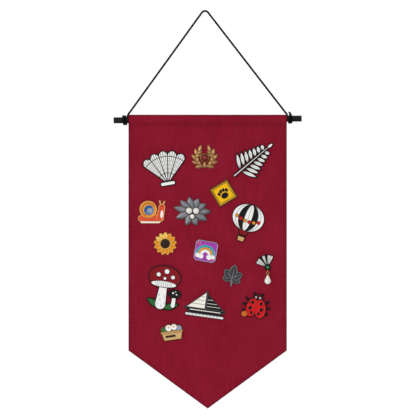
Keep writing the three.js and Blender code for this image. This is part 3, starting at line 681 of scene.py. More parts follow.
canvas = new_finish("red_canvas", paint(128, 21, 40), 0.95, Specular_IOR_Level=0.03)
weave_tree = canvas.node_tree
flat_map = add_node(weave_tree, "ShaderNodeUVMap", uv_map="flat").outputs[0]
flat_axes = add_node(weave_tree, "ShaderNodeSeparateXYZ", {0: flat_map}).outputs


def thread_wave(axis):
    """A sine wave of one thread's pitch along one axis of the flat map."""
    turns = math_node(weave_tree, "MULTIPLY", flat_axes[axis], 2 * math.pi / THREAD_PITCH)
    return math_node(weave_tree, "SINE", turns)


def slubs(scale_x, scale_y):
    """Noise on the flat map, drawn out along one of its axes."""
    scale = (scale_x, scale_y, 1)
    drawn = add_node(weave_tree, "ShaderNodeMapping", {"Vector": flat_map, "Scale": scale})
    inputs = {"Vector": drawn.outputs[0], "Scale": 1.0, "Detail": 2.0}
    return add_node(weave_tree, "ShaderNodeTexNoise", inputs).outputs[0]


def weighted(*pairs):
    """The sum of some values, each times its weight."""
    terms = [math_node(weave_tree, "MULTIPLY", value, weight) for value, weight in pairs]
    total = terms[0]
    for term in terms[1:]:
        total = math_node(weave_tree, "ADD", total, term)
    return total


def mix_colour(material, share, first, second):
    """A colour that goes from the first to the second by a share."""
    inputs = {0: share, 6: first, 7: second}
    return add_node(material.node_tree, "ShaderNodeMix", inputs, data_type="RGBA").outputs[2]


over_under = math_node(weave_tree, "MULTIPLY", thread_wave(0), thread_wave(1))
slub = math_node(weave_tree, "ADD", slubs(45, 1400), slubs(1400, 45))
tone = weighted((slub, 0.23), (slubs(460, 36), 0.24), (speckle(canvas, 26, 3), 0.3))
dye = ramp(canvas, tone, paint(122, 15, 33), paint(149, 33, 55))
# The dyed colour is mixed towards a deep red by a painted shade read from the points.
drive(
    canvas,
    Base_Color=mix_colour(canvas, from_points(canvas, "painted_shade"), dye, paint(80, 5, 20)),
    Normal=bump(canvas, weighted((over_under, 0.5), (slub, 1.0)), 0.05 * MM),
)
print("canvas finish: a thread every", THREAD_PITCH, "m")

# %% Canvas on the banner
# Painted shade on the canvas: darker along the hem's stitch line, at the rounded edges of the cloth
# and under the sleeve at its seam; the back of the sheet gets a weaker share of the same painted
# shade.
HEM_SHADE, EDGE_SHADE, SLEEVE_SHADE = 0.1, 0.85, 0.08
BACK_SHADE = 0.6

painted_shade_tone = (
    HEM_SHADE * bell(edge, STITCH_INSET, 0.5) * in_panel
    + EDGE_SHADE * bell(edge, 0, 1.4)
    + SLEEVE_SHADE * bell(line_z, SEAM + 0.6, 1.0) * in_front
)
painted_shade_tone = np.clip(painted_shade_tone, 0, 1)[::-1].ravel()
cloth_piece = make_piece(
    "canvas_pennant",
    [(cloth_points, cloth_faces)],
    canvas,
    "banner",
    ["banner_cloth"],
    {"painted_shade": np.concatenate([painted_shade_tone, BACK_SHADE * painted_shade_tone])},
)
line_length = run_of(sleeve_line)
flat_v = rows_of(line_length, line_length[-1] + below)
flat_uv = np.stack([grid_x, flat_v], axis=-1)[::-1].reshape(-1, 2) * MM
corner_points = np.empty(len(cloth_piece.data.loops), np.int32)
cloth_piece.data.loops.foreach_get("vertex_index", corner_points)
corner_uv = np.tile(flat_uv, (2, 1))[corner_points].astype(np.float32)
cloth_piece.data.uv_layers.new(name="flat").data.foreach_set("uv", corner_uv.ravel())

# %% [markdown]
# ## Stitches
# A sewing machine leaves a row of short thread lengths, each sunk at both ends. One stitch is a
# small rounded bar, and the same bar is set along the seam lines: below the sleeve, and round the
# hem, front and back.

# %% Stitches
STITCH_PITCH = 2.9
STITCH_HALF = 1.2
STITCH_TIP = 0.96
THREAD_HALF, THREAD_RISE = 0.3, 0.22
SEAM_LEVEL = SEAM - 0.9
HEM_TOP = SEAM - 9


def along_line(corners, pitch):
    """Even places on a line through corner points, with the direction of the line at each."""
    corners = np.array(corners, float)
    stretch = np.diff(corners, axis=0)
    run = run_of(corners)
    places = np.arange(pitch / 2, run[-1], pitch)
    which = np.clip(np.searchsorted(run, places) - 1, 0, len(stretch) - 1)
    way = (stretch / np.linalg.norm(stretch, axis=1, keepdims=True))[which]
    return corners[which] + (places - run[which])[:, None] * way, way


def stitch_row(corners, depth):
    """Stitches along a line in the plane of the cloth, at a depth behind it, as rings of points.

    Each stitch is an ellipsoid drawn out along the line, as thick as the thread at its middle.
    """
    place, way = along_line(corners, STITCH_PITCH)
    place, way = place[:, None, None], way[:, None, None]
    across = np.stack([-way[..., 1], way[..., 0]], axis=-1)
    t = np.linspace(-STITCH_TIP, STITCH_TIP, 7)[:, None]
    swell = np.sqrt(1 - t**2)
    section = ring_points(1.0, 6)
    breadth = THREAD_HALF * swell * section[:, 0]
    flat = place + (STITCH_HALF * t)[..., None] * way + breadth[..., None] * across
    level = np.broadcast_to(depth - THREAD_RISE * swell * section[:, 1], flat.shape[:3])
    return np.stack([flat[..., 0], level, flat[..., 1]], axis=-1)


slope = POINT_DROP / HALF_WIDTH
corner_lift = STITCH_INSET * (math.hypot(1, slope) - slope)
point_lift = STITCH_INSET * math.hypot(1, slope)
half_hem = HALF_WIDTH - STITCH_INSET
hem_line = [
    (-half_hem, HEM_TOP),
    (-half_hem, CORNER + corner_lift),
    (0, CORNER - POINT_DROP + point_lift),
    (half_hem, CORNER + corner_lift),
    (half_hem, HEM_TOP),
]
sleeve_seam = [(-HALF_WIDTH + 1.5, SEAM_LEVEL), (HALF_WIDTH - 1.5, SEAM_LEVEL)]
flap_seam = [(-HALF_WIDTH + 7, SEAM_LEVEL), (HALF_WIDTH - 7, SEAM_LEVEL)]
seam_rows = [
    stitch_row(hem_line, -CLOTH / 2 + 0.12),
    stitch_row(sleeve_seam, -CLOTH / 2 + 0.1),
    stitch_row(hem_line, 1.5 * CLOTH),
    stitch_row(flap_seam, FLAP_Y + CLOTH / 2),
]
stitches = [skin((one + ROD_MIDDLE) * MM) for line in seam_rows for one in line]

thread = new_finish("red_thread", paint(123, 20, 38), 0.85, Specular_IOR_Level=0.05)
twist = speckle(thread, 3000, 2)
drive(thread, Base_Color=ramp(thread, twist, paint(112, 15, 32), paint(132, 25, 45)))
make_piece("seam_stitches", stitches, thread, "banner")
print("stitches:", len(stitches))

# %% [markdown]
# ## Pins: flat shapes as distances
# A pin is struck from sheet metal: thin walls of metal stand round hollows that are filled with
# enamel. Each motif is put together from a few flat shapes. A shape is a function that tells how
# far any point of the plane is from its border, less than zero inside. Such a function makes the
# walls easy, because a wall is simply where the distance is between zero and the wall's breadth.

# %% Flat shapes
def aim(degrees):
    """Cosine and sine of a heading in degrees, anticlockwise from straight right."""
    return math.cos(math.radians(degrees)), math.sin(math.radians(degrees))


def disc(x0, y0, r):
    """Distance to a disc: from its centre, less its radius."""
    return lambda x, y: np.hypot(x - x0, y - y0) - r


def oval(x0, y0, a, b, turn=0.0):
    """Near distance to an ellipse: scaled radius, times itself less one, over its slope."""
    c, s = aim(turn)

    def distance(x, y):
        u, v = c * (x - x0) + s * (y - y0), c * (y - y0) - s * (x - x0)
        scaled = np.hypot(u / a, v / b)
        slope = np.maximum(np.hypot(u / a**2, v / b**2), 1e-6)
        return np.where(scaled < 1e-3, -min(a, b), scaled * (scaled - 1) / slope)

    return distance


def taper(x1, y1, r1, x2, y2, r2):
    """Distance to a bar with round ends: to either end's circle, or to their tangent line."""
    length = math.hypot(x2 - x1, y2 - y1)
    ux, uy = (x2 - x1) / length, (y2 - y1) / length
    lean = (r1 - r2) / length
    rest = math.sqrt(1 - lean**2)

    def distance(x, y):
        along = (x - x1) * ux + (y - y1) * uy
        across = np.abs((y - y1) * ux - (x - x1) * uy)
        place = rest * along - lean * across
        side = rest * across + lean * along - r1
        near, far = np.hypot(across, along) - r1, np.hypot(across, along - length) - r2
        return np.where(place < 0, near, np.where(place > rest * length, far, side))

    return distance


def spoke(x0, y0, heading, near, far, thin, thick):
    """A bar that leads away from a point, from one radius at its near end to one at its far end."""
    c, s = aim(heading)
    return taper(x0 + near * c, y0 + near * s, thin, x0 + far * c, y0 + far * s, thick)


def leaf(x0, y0, length, width, heading):
    """Distance to a leaf, the space shared by two discs: the larger of the distances to the two."""
    way = np.array(aim(heading))
    radius = (length**2 + width**2) / (4 * width)
    middle = np.array([x0, y0]) + way * length / 2
    across = np.array([-way[1], way[0]]) * (radius - width / 2)
    (ax, ay), (bx, by) = middle + across, middle - across
    return lambda x, y: np.maximum(np.hypot(x - ax, y - ay), np.hypot(x - bx, y - by)) - radius


def polygon(*corners):
    """Distance to a convex polygon with anticlockwise corners: the largest one to its sides."""
    corner = np.array(corners, float)
    side = np.roll(corner, -1, axis=0) - corner
    side /= np.linalg.norm(side, axis=1, keepdims=True)
    normal = np.stack([side[:, 1], -side[:, 0]])[..., None, None]
    offset = (normal[:, :, 0, 0] * corner.T).sum(axis=0)[:, None, None]
    return lambda x, y: (normal[0] * x + normal[1] * y - offset).max(axis=0)


def band(x0, y0, radius, half, start, end):
    """Distance to part of a ring: the larger of those to the ring and to its two ends."""
    middle, span = math.radians(start + end) / 2, math.radians(end - start) / 2

    def distance(x, y):
        turn = np.arctan2(y - y0, x - x0) - middle
        turn = np.abs((turn + math.pi) % (2 * math.pi) - math.pi)
        to_ring = np.abs(np.hypot(x - x0, y - y0) - radius) - half
        return np.maximum(to_ring, radius * (turn - span))

    return distance


SHAPES = (disc, oval, taper, spoke, leaf, polygon, band)
print("flat shapes:", [shape.__name__ for shape in SHAPES])

# %% [markdown]
# ## Pins: the motifs
# Fifteen designs, in the colours and sizes of a mixed collection. For each, the cells are painted
# in turn, each over the ones before it. A field is enamel between its own walls, a print is a thin
# layer of ink on the fields below it, and metal is what stays bare. The numbers are millimetres in
# the pin's own plane, and the fields and the metal agree with the solids.

# %% Enamel colours
SCREEN_TINTS = dict(
    white=(250, 250, 248), grey=(176, 178, 180), black=(15, 15, 17), yellow=(248, 192, 14),
    orange=(222, 108, 30), coral=(222, 84, 48), rust=(186, 74, 28), blue=(48, 92, 150),
    sky=(126, 168, 200), teal=(40, 160, 176), purple=(166, 64, 176), amber=(226, 148, 42),
    red=(212, 22, 26), crimson=(134, 12, 24), maroon=(74, 14, 20), green=(36, 104, 50),
    moss=(96, 122, 60), cream=(250, 247, 236), tan=(196, 150, 96), straw=(224, 186, 128),
    petal=(230, 144, 26), pale_petal=(246, 206, 104), seed=(46, 26, 16), gold=(176, 132, 84),
    brass=(176, 142, 70), old_brass=(92, 72, 38), silver=(140, 142, 146),
    old_silver=(112, 113, 118), pewter=(96, 98, 102), slate=(58, 59, 62), steel=(150, 152, 156),
    ink=(11, 11, 12),
)
TINTS = {name: paint(*levels) for name, levels in SCREEN_TINTS.items()}
CABOCHON_SIZE, FAN_STONE_SIZE = 8.6, 4.4
SETTING_LIP = 0.7
CABOCHON = CABOCHON_SIZE / 2 + SETTING_LIP
FAN_STONE = FAN_STONE_SIZE / 2 + SETTING_LIP
FAN_PIVOT = -8.6
PEARL_PLACES = [(-4.6, 1.4), (4.4, 2.0), (0.2, -5.6)]
PEARL_SIZES = [8.0, 8.0, 6.0]
LINE = 0.5


def fields(*pairs):
    """Enamel fields from pairs of a shape and a tint."""
    return [(shape, tint, True) for shape, tint in pairs]


def prints(tint, *shapes):
    """Ink of one tint on the fields that are already there."""
    return [(shape, tint, False) for shape in shapes]


def fan_of(count, step):
    """Headings in degrees that spread evenly about straight up, from left to right."""
    return 90 - (np.arange(count) - (count - 1) / 2) * step


def rib(pivot, heading, step, near, far):
    """A bar that widens away from a pivot: its share of a fan, less one line of metal."""
    widen = math.sin(math.radians(step / 2))
    return spoke(0, pivot, heading, near, far, near * widen - LINE / 2, far * widen - LINE / 2)


print("tints:", len(TINTS))

# %% Motifs of the upper rows
def shell_motif():
    """A scallop: five ribs that widen from a hinge bar, with growth lines printed across them."""
    hinge = -21
    cells = fields((taper(-7, hinge, 2.2, 7, hinge, 2.2), "white"))
    for heading in fan_of(5, 18):
        cells += fields((rib(hinge, heading, 18, 3.6, 36), "white"))
        strokes = [(heading + turn, 9 if turn else 15) for turn in (-4.4, 0, 4.4)]
        grooves = [spoke(0, hinge, turn, near, 40, 0.1, 0.42) for turn, near in strokes]
        cells += prints("black", *grooves)
    cells += prints("black", *[band(0, hinge, radius, 0.5, 40, 140) for radius in (13.5, 34.6)])
    cells += prints("grey", *[band(0, hinge, radius, 0.3, 40, 140) for radius in (19, 24, 29)])
    return {"cells": cells, "metal": [], "bold": 0.4}


def wreath_motif():
    """Two laurel twigs round a set stone: leaves on both sides of an open ring, three spokes."""
    radius = 10.6
    metal = [band(0, 0, radius, 0.6, -240, 60)]
    metal += [spoke(0, 0, angle, CABOCHON, radius, 0.7, 0.7) for angle in (30, 150, 270)]
    for side in (1, -1):
        for start, count, length, width, splay in ((-72, 5, 7.6, 2.6, 30), (-56, 4, 5, 2, -34)):
            for angle in start + 30 * np.arange(count):
                c, s = aim(angle)
                heading = 90 + side * (angle - splay)
                metal.append(leaf(side * radius * c, radius * s, length, width, heading))
    return {"cells": [], "metal": [*metal, disc(0, 0, CABOCHON)]}


def fern_motif():
    """A fern frond: seven pairs of leaflets that shorten along a stem, each with a dark vein."""
    cells = []
    for i in range(7):
        x, length = -20 + i * 6.3, 20 - i * 2.2
        for side in (1, -1):
            cells += fields((leaf(x, side * 1.6, length, 4.4, side * 62), "white"))
            vein = spoke(x, side * 1.6, side * 62, 0, 0.8 * length, 0.34, 0.12)
            cells += prints("black", vein)
    cells += fields((leaf(23.6, 0, 9, 3.4, 0), "white"), (taper(-31, 0, 0.9, 24, 0, 0.6), "white"))
    return {"cells": cells, "metal": [], "bold": 0.35}


def paw_motif():
    """A square plaque with a printed border line, and a paw of one pad and four toes."""

    def square(half):
        """Distance to a square about the middle."""
        return polygon((-half, -half), (half, -half), (half, half), (-half, half))

    border = square(10.2)
    toes = [(oval(x, 4.6 - abs(x) * 0.55, 1.5, 2.1), "black") for x in (-5.4, -1.9, 1.9, 5.4)]
    cells = fields((square(11.2), "yellow"))
    cells += prints("black", lambda x, y: np.abs(border(x, y)) - 0.38)
    cells += fields((oval(0, -3.4, 4.4, 3.4), "black"), *toes)
    return {"cells": cells, "metal": [square(12.1)]}


def snail_motif():
    """A snail: a foot and a raised neck, a round house of three turns, two feelers of metal."""
    cells = fields(
        (taper(-12, -13, 1.5, 9.5, -13, 1.5), "white"),
        (taper(-13, -9, 3.2, 11, -8.4, 4.2), "coral"),
        (taper(11, -8, 4, 13.4, 5, 3.4), "coral"),
    )
    folds = [taper(x, -11.4, 0.3, x + 1.6, -6.6, 0.3) for x in (-9, -4.6, -0.2, 4.2)]
    cells += prints("black", disc(13.8, 6.2, 0.75), taper(11.6, 2.6, 0.2, 14.6, 1.8, 0.2))
    cells += prints("rust", *folds)
    cells += prints("white", leaf(12.6, -9, 11, 3.6, 84))
    cells += fields((disc(-4, 2.4, 10.2), "amber"))
    cells += prints("rust", band(-3.6, 2.0, 8.2, 0.5, 30, 250))
    cells += fields((disc(-3.2, 1.6, 6.2), "blue"))
    cells += prints("sky", band(-2.8, 1.6, 4.4, 0.35, 200, 400))
    cells += fields((disc(-2.2, 1.2, 2.4), "sky"))
    feelers = [taper(12.4, 7, 0.2, 10.6, 13, 0.2), taper(14.4, 7, 0.2, 16.6, 12.4, 0.2)]
    return {"cells": cells, "metal": feelers}


def spray_motif():
    """A spray of ten long leaves behind three pearls in their cups."""
    lengths = [20, 17, 16, 16.5, 18, 21, 19, 15.5, 15, 18]
    headings = [8, 38, 72, 108, 142, 172, 206, 250, 292, 336]
    leaves = []
    for length, heading in zip(lengths, headings):
        c, s = aim(heading)
        leaves.append(leaf(2 * c, 2 * s, length, 7, heading))
    cups = [disc(x, y, size / 2) for (x, y), size in zip(PEARL_PLACES, PEARL_SIZES)]
    return {"cells": [], "metal": leaves + cups}


print("upper motifs ready")

# %% Motifs of the lower rows
def gore_line(side):
    """A seam line of the balloon: the border of an oval, kept to one side of the middle."""
    ring = oval(0, 6, 16, 16.9)
    return lambda x, y: np.maximum(np.abs(ring(x, y)) - 0.28, -side * x)


def balloon_motif():
    """A hot-air balloon: gores as ovals one over the other, round pennants, a skirt, a basket."""
    cells = fields((oval(0, 6, 20, 17), "white"))
    cells += prints("black", gore_line(-1), gore_line(1))
    cells += fields((oval(0, 6, 12, 16.8), "black"), (oval(0, 6, 4.4, 16.6), "white"))
    cells += prints("black", taper(0, 21, 0.2, 0, -9, 0.2))
    for i, place in enumerate(np.arange(6) - 2.5):
        pennant = disc(place * 5.8, 1.2 + place**2 * 0.5, 2)
        cells += fields((pennant, "red" if i % 2 else "amber"))
    cells += fields(
        (polygon((-3.4, -16.4), (3.4, -16.4), (5.6, -11.2), (-5.6, -11.2)), "crimson"),
        (polygon((-3.4, -24.6), (3.4, -24.6), (4, -19.6), (-4, -19.6)), "straw"),
    )
    cells += prints("rust", *[taper(-3.2, y, 0.2, 3.2, y, 0.2) for y in (-21.2, -23)])
    return {"cells": cells, "metal": [taper(x, -20, 0.2, x, -16, 0.2) for x in (-3, 3)]}


def sunflower_motif():
    """A sunflower: thirteen petals round a head of seeds; the upper left petals are paler."""
    cells = []
    for i in range(13):
        heading = (i - 6) * 360 / 13
        c, s = aim(heading)
        tint = "pale_petal" if i in (9, 10, 11) else "petal"
        cells += fields((leaf(6.8 * c, 6.8 * s, 7, 4, heading), tint))
        cells += prints("orange", spoke(0, 0, heading, 6.8, 10.4, 0.6, 0.1))
    return {"cells": cells + fields((disc(0, 0, 6.2), "seed")), "metal": [], "seeds": 6.2}


def rainbow_motif():
    """A plaque with cut corners: three arcs that end in clouds, and two small round studs."""
    block = polygon(
        (-10.6, -12.4), (10.6, -12.4), (13.4, -9.6), (13.4, 9.6),
        (10.6, 12.4), (-10.6, 12.4), (-13.4, 9.6), (-13.4, -9.6),
    )
    cells = fields((block, "purple"))
    for radius, tint in ((11, "teal"), (8, "amber"), (5, "white")):
        cells += fields((band(0, -4.6, radius, 1.4, 0, 180), tint))
    for side in (-1, 1):
        clouds = [disc(side * 9.6, -6.2, 2.7), disc(side * 5.4, -6.8, 3.1)]
        cells += fields(*[(cloud, "white") for cloud in clouds])
    cells += fields((disc(-9.8, 9, 1.5), "red"), (disc(9, -9.6, 1.2), "red"))
    return {"cells": cells, "metal": []}


def toadstool_motif():
    """A large toadstool and a small one between two leaves: spotted caps, gills, flecked stems."""
    flecks = [(-5, -8), (-3.4, -14), (1.8, -10), (2.6, -18), (-6, -20), (-1, -22)]
    spots = [(-9, 16, 2.8), (1, 21, 3.2), (9.5, 14.5, 2.6), (-0.5, 12, 2)]
    gills = [taper(x, 8.2, 0.22, x * 0.8, 1.2, 0.22) for x in np.linspace(-12, 10, 9)]
    veins = [taper(-3, -24.6, 0.25, -16, -17.6, 0.15), taper(4, -25, 0.25, 17, -19.8, 0.15)]
    cells = fields((leaf(-2, -25, 19, 7.5, 152), "green"), (leaf(2, -26, 20, 7.5, 22), "green"))
    cells += prints("moss", *veins)
    cells += fields((taper(14.4, -8, 2.2, 14, -21, 2.8), "white"))
    cells += fields((oval(14.4, -6, 7.4, 5), "black"))
    cells += prints("white", disc(12.4, -5, 1.2), disc(17, -6.6, 0.9), disc(15.4, -3, 0.7))
    cells += fields((taper(-1, 4, 4.6, -2, -21, 6.6), "white"))
    cells += prints("black", *[taper(x, y, 0.34, x + 0.3, y - 3.2, 0.1) for x, y in flecks])
    cells += fields((oval(-1, 14, 20, 13.6), "crimson"), (oval(-1, 4.6, 16, 4), "white"))
    cells += prints("black", *gills)
    cells += fields(*[(disc(x, y, r), "white") for x, y, r in spots])
    return {"cells": cells, "metal": [], "bold": 0.3}


def sailboat_motif():
    """A sailing boat: two sails on a mast of metal, a dark hull with a strake, a bar of water."""
    waves = [taper(x, -15, 0.25, x + 2.4, -16, 0.25) for x in np.arange(-21, 20, 4.6)]
    cells = fields((polygon((-1.2, -6.4), (-1.2, 13.4), (-23, -6.4)), "cream"))
    cells += prints("black", *[taper(-1.2, y, 0.26, -24, y, 0.26) for y in (8.2, 3.2, -1.6)])
    cells += fields((polygon((1.6, -6.4), (22, -6.4), (1.6, 10.6)), "black"))
    cells += prints("cream", *[taper(1.6, y, 0.26, 22, y, 0.26) for y in (5, 0.4, -3.4)])
    cells += fields((polygon((-18, -13.4), (18, -13.4), (25, -7.8), (-25.4, -7.8)), "black"))
    cells += prints("cream", taper(-19, -9.6, 0.5, 19.4, -9.6, 0.5))
    cells += fields((taper(-23, -15.6, 1.2, 23, -15.6, 1.2), "white"))
    cells += prints("black", *waves)
    return {"cells": cells, "metal": [taper(0.2, -8, 0.2, 0.2, 15, 0.2)]}


def ivy_motif():
    """An ivy leaf: five lobes with a vein each, and a stalk of bare metal."""
    lobes = [(-14, 11, 7), (194, 11, 7), (36, 13.4, 8), (144, 13.4, 8), (90, 16.4, 8.4)]
    cells = []
    for heading, length, width in lobes:
        cells += fields((leaf(0, -3, length, width, heading), "slate"))
        cells += prints("steel", spoke(0, -3, heading, 0, 0.8 * length, 0.35, 0.15))
    return {"cells": cells, "metal": [taper(0, -3, 0.8, 1.2, -12.6, 0.2)]}


def fan_motif():
    """A folding fan: seven sticks, two of them dark, that widen from a set stone."""
    cells = []
    for i, heading in enumerate(fan_of(7, 14)):
        dark = i in (2, 4)
        cells += fields((rib(FAN_PIVOT, heading, 14, 4.8, 14), "black" if dark else "white"))
        if not dark:
            cells += prints("black", spoke(0, FAN_PIVOT, heading, 4, 15, 0.12, 0.3))
    return {"cells": cells, "metal": [disc(0, FAN_PIVOT, FAN_STONE)]}


def ladybird_motif():
    """A ladybird with a blossom: two spotted wing cases, a head, legs and feelers of metal."""
    spots = [(5.6, 5, 1.7), (7.2, -2.4, 1.9), (4.6, -8, 1.5)]
    blossom = (-13, -11.4)
    metal = []
    for side in (-1, 1):
        for c, s in map(aim, (-24, 4, 34)):
            metal.append(taper(side * 9, 8 * s, 0.6, side * 17 * c, 17 * s, 0.3))
        metal.append(taper(side * 2, 13, 0.3, side * 5.4, 17.4, 0.3))
    cells = fields((oval(0, 11, 6.4, 4.6), "maroon"))
    cells += prints("white", oval(-2.6, 12.2, 0.8, 1.1), oval(2.6, 12.2, 0.8, 1.1))
    cells += fields(*[(oval(side * 5.4, -1.6, 6.8, 11.6, side * 8), "red") for side in (-1, 1)])
    for side in (-1, 1):
        cells += prints("crimson", taper(side * 9.6, 5, 0.3, side * 9, -9.4, 0.1))
        cells += fields(*[(disc(side * x, y, r), "black") for x, y, r in spots])
    cells += fields((disc(*blossom, 3.6), "orange"))
    rays = [spoke(*blossom, heading, 1.6, 3.4, 0.14, 0.14) for heading in range(18, 360, 72)]
    cells += prints("rust", *rays) + fields((disc(*blossom, 1.3), "amber"))
    return {"cells": cells, "metal": metal}


def basket_motif():
    """A basket of blossoms: four heads behind a woven side, a rim and a dark band."""
    heads = [
        (-9.4, 3.4, 3.4, "green"), (-3.4, 5.4, 3.8, "white"),
        (9.4, 3.6, 3.4, "sky"), (3.4, 5.8, 3.6, "white"),
    ]
    cells = []
    for x, y, r, tint in heads:
        cells += fields((disc(x, y, r), tint))
        cells += prints("moss" if tint == "green" else "amber", disc(x, y + 0.6, 1.1))
    stakes = [taper(x, -9.2, 0.2, x * 1.16, -1.2, 0.2) for x in np.linspace(-8.8, 8.8, 8)]
    weavers = [taper(-11, y, 0.16, 11, y, 0.16) for y in (-3.2, -7.4)]
    cells += fields((polygon((-10.4, -9.6), (10.4, -9.6), (12.6, -0.6), (-12.6, -0.6)), "straw"))
    cells += prints("brass", *stakes, *weavers)
    cells += fields((taper(-12.6, 0, 1.2, 12.6, 0, 1.2), "tan"))
    cells += fields((taper(-7.6, -5.2, 1, 3, -5.2, 1), "black"))
    return {"cells": cells, "metal": []}


print("lower motifs ready")

# %% [markdown]
# ## Pins: striking the plate
# The plate is a height over a fine square grid. Points outside every shape are dropped, and the
# points on the ragged border are then slid along the slope of the distance onto the true outline,
# which makes it smooth. Enamel is painted cell by cell. It sinks a little between its walls, as it
# does when it sets. Bare metal leaves get a ridge instead, and darken where they lie low, like an
# old plating that was rubbed.

# %% Colours and levels of a plate
RIM = 1.0
PLATE = 1.6
CELL_SINK, SINK_OVER = 0.24, 0.35
RIDGE_FOOT, RIDGE_RISE, RIDGE_OVER = 0.5, 0.75, 2.6
RUB_OVER, UNRUBBED = 0.6, 0.28
SEED_DOME, SEED_RISE, SEED_RING = 0.3, 0.1, 4.4
BEAD_OUT, BEAD_BREADTH, BEAD_REACH = 0.4, 0.3, 0.9
BEAD_RISE, CLAW_RISE, CLAWS = 0.45, 0.15, 12
GRID_STEP = 0.25


def covered(distance):
    """Share of a grid square that a shape covers, by its distance: half on the border."""
    return np.clip(0.5 - distance / GRID_STEP, 0, 1)


def paint_cells(x, y, motif, line_tint):
    """Colour, share of metal and height of a plate at each point, cell by cell.

    A field's wall is where its distance is from 0 to the breadth of a line; the enamel's level
    falls with its distance from the nearest wall. Ink only changes the colour of enamel. Each
    layer is laid on by the share of the grid square that it covers, so that borders stay smooth.
    """
    line_colour = np.array(TINTS[line_tint])
    tint = np.tile(line_colour, (*x.shape, 1))
    metal = np.ones(x.shape)
    from_wall = np.zeros(x.shape)
    bold = motif.get("bold", 0.0)
    for shape, colour, walled in motif["cells"]:
        distance = shape(x, y)
        colour = np.array(TINTS[colour])
        if not walled:
            tint += (covered(distance) * (1 - metal))[..., None] * (colour - tint)
            continue
        wall, inside = covered(distance - LINE), covered(distance + bold)
        tint += wall[..., None] * (line_colour - tint)
        tint += inside[..., None] * (colour - tint)
        metal = (metal + wall * (1 - metal)) * (1 - inside)
        to_wall = np.minimum(from_wall, np.maximum(distance - LINE, 0))
        from_wall = np.maximum(to_wall, -distance - bold)
    height = PLATE - CELL_SINK * (1 - np.exp(-from_wall / SINK_OVER)) * (1 - metal)
    return tint, metal, height


def ridge_metal(x, y, shapes, height, tint, bare):
    """Bare metal shapes raised to a ridge along their middle, each over the ones before it.

    The level rises in a straight slope from the border of the grown shape; low places are darker.
    """
    for shape in shapes:
        inward = RIM - shape(x, y)
        level = PLATE - RIDGE_FOOT + RIDGE_RISE * np.clip(inward / RIDGE_OVER, 0, 1)
        height = np.where((inward > 0) & bare, level, height)
    rubbed = np.clip((height - PLATE + RIDGE_FOOT) / RUB_OVER, 0, 1)
    tint[..., :3] *= np.where(bare, UNRUBBED + (1 - UNRUBBED) * rubbed, 1.0)[..., None]
    return height


def seed_head(x, y, radius, height, tint):
    """Seeds in two sets of spirals that cross, raised on a shallow dome, inside a radius."""
    r, turn = np.hypot(x, y), np.arctan2(y, x)
    seeds = np.cos(13 * turn + 2.6 * r) * np.cos(8 * turn - 3.4 * r)
    inside = r < radius
    raised = height + SEED_DOME * (1 - (r / radius) ** 2) + SEED_RISE * seeds
    shade = 0.75 + 0.5 * np.clip(seeds, -0.5, 1) + 0.5 * (r > SEED_RING)
    tint[..., :3] *= np.where(inside, shade, 1.0)[..., None]
    return np.where(inside, raised, height)


def seats(x, y, settings, height):
    """A raised bead round each stone or pearl, with small claws, and a flat floor inside it."""
    for (x0, y0), diameter in settings:
        r, turn = np.hypot(x - x0, y - y0), np.arctan2(y - y0, x - x0)
        lip = diameter / 2 + BEAD_OUT
        bead = (BEAD_RISE + CLAW_RISE * np.cos(CLAWS * turn)) * bell(r, lip, BEAD_BREADTH)
        height = np.where(r < lip + BEAD_REACH, PLATE + bead, height)
    return height


print("plates: a grid of", GRID_STEP, "mm")

# %% Striking
SEAT = 0.3
EDGE_ROUND = 0.42
GRID_HALF = 36
TRIM = 0.03
BACK_LEVEL = 0.02 - SEAT
INKED_METAL = 0.15


def border_of(quads):
    """The edges that belong to one face only, each in the direction of its face."""
    edges = np.stack([quads, np.roll(quads, -1, axis=1)], axis=-1).reshape(-1, 2)
    key = np.sort(edges, axis=1)
    _, which, times = np.unique(key, axis=0, return_inverse=True, return_counts=True)
    return edges[times[which.reshape(-1)] == 1]


def strike(motif, line_tint, settings, relief):
    """A struck plate in the pin's own plane, in millimetres: points, faces, tint, share of metal.

    A border point slides by its distance from the outline, over the slope of that distance.
    """
    axis = np.arange(-GRID_HALF, GRID_HALF + GRID_STEP / 2, GRID_STEP)
    x, y = np.meshgrid(axis, axis)
    shapes = [shape for shape, _, walled in motif["cells"] if walled] + motif["metal"]
    reach = np.min([shape(x, y) for shape in shapes], axis=0) - RIM
    tint, metal, height = paint_cells(x, y, motif, line_tint)
    if relief:
        height = ridge_metal(x, y, motif["metal"], height, tint, metal > 0.5)
    if "seeds" in motif:
        height = seed_head(x, y, motif["seeds"], height, tint)
    height = seats(x, y, settings, height) - round_off(-reach, EDGE_ROUND)

    quads = grid_quads(np.arange(x.size).reshape(x.shape))
    quads = quads[(grid_quads(reach) < -TRIM).all(axis=-1)]
    used, quads = np.unique(quads, return_inverse=True)
    quads = quads.reshape(-1, 4)
    border = border_of(quads)
    on_border = np.zeros(len(used), bool)
    on_border[border] = True

    slope_y, slope_x = np.gradient(reach, GRID_STEP)
    steep = np.maximum(np.hypot(slope_x, slope_y), 0.5)
    slide = np.where(on_border, (-reach / steep).ravel()[used], 0)
    px = x.ravel()[used] + slide * (slope_x / steep).ravel()[used]
    py = y.ravel()[used] + slide * (slope_y / steep).ravel()[used]
    pz = np.where(on_border, PLATE - EDGE_ROUND, height.ravel()[used])
    front = np.stack([px, py, pz], axis=1)
    count = len(front)
    back = np.stack([px, py, np.full(count, BACK_LEVEL)], axis=1)
    start, end = border.T
    wall = np.stack([start, start + count, end + count, end], axis=1)
    plain = np.tile(np.array(TINTS[line_tint]), (count, 1))
    plated = INKED_METAL if line_tint == "ink" else 1.0
    metals = np.concatenate([metal.ravel()[used], np.ones(count)]) * plated
    tints = np.concatenate([tint.reshape(-1, 4)[used], plain])
    return np.concatenate([front, back]), [quads, quads[:, ::-1] + count, wall], tints, metals


print("striking: plates of", PLATE, "mm")

# %% [markdown]
# ## Pins: posts and places
# Behind each plate stands a steel post with a soldered pad and a point; broad pins have two. A
# pin's own plane is turned by its angle and stood up against the canvas.

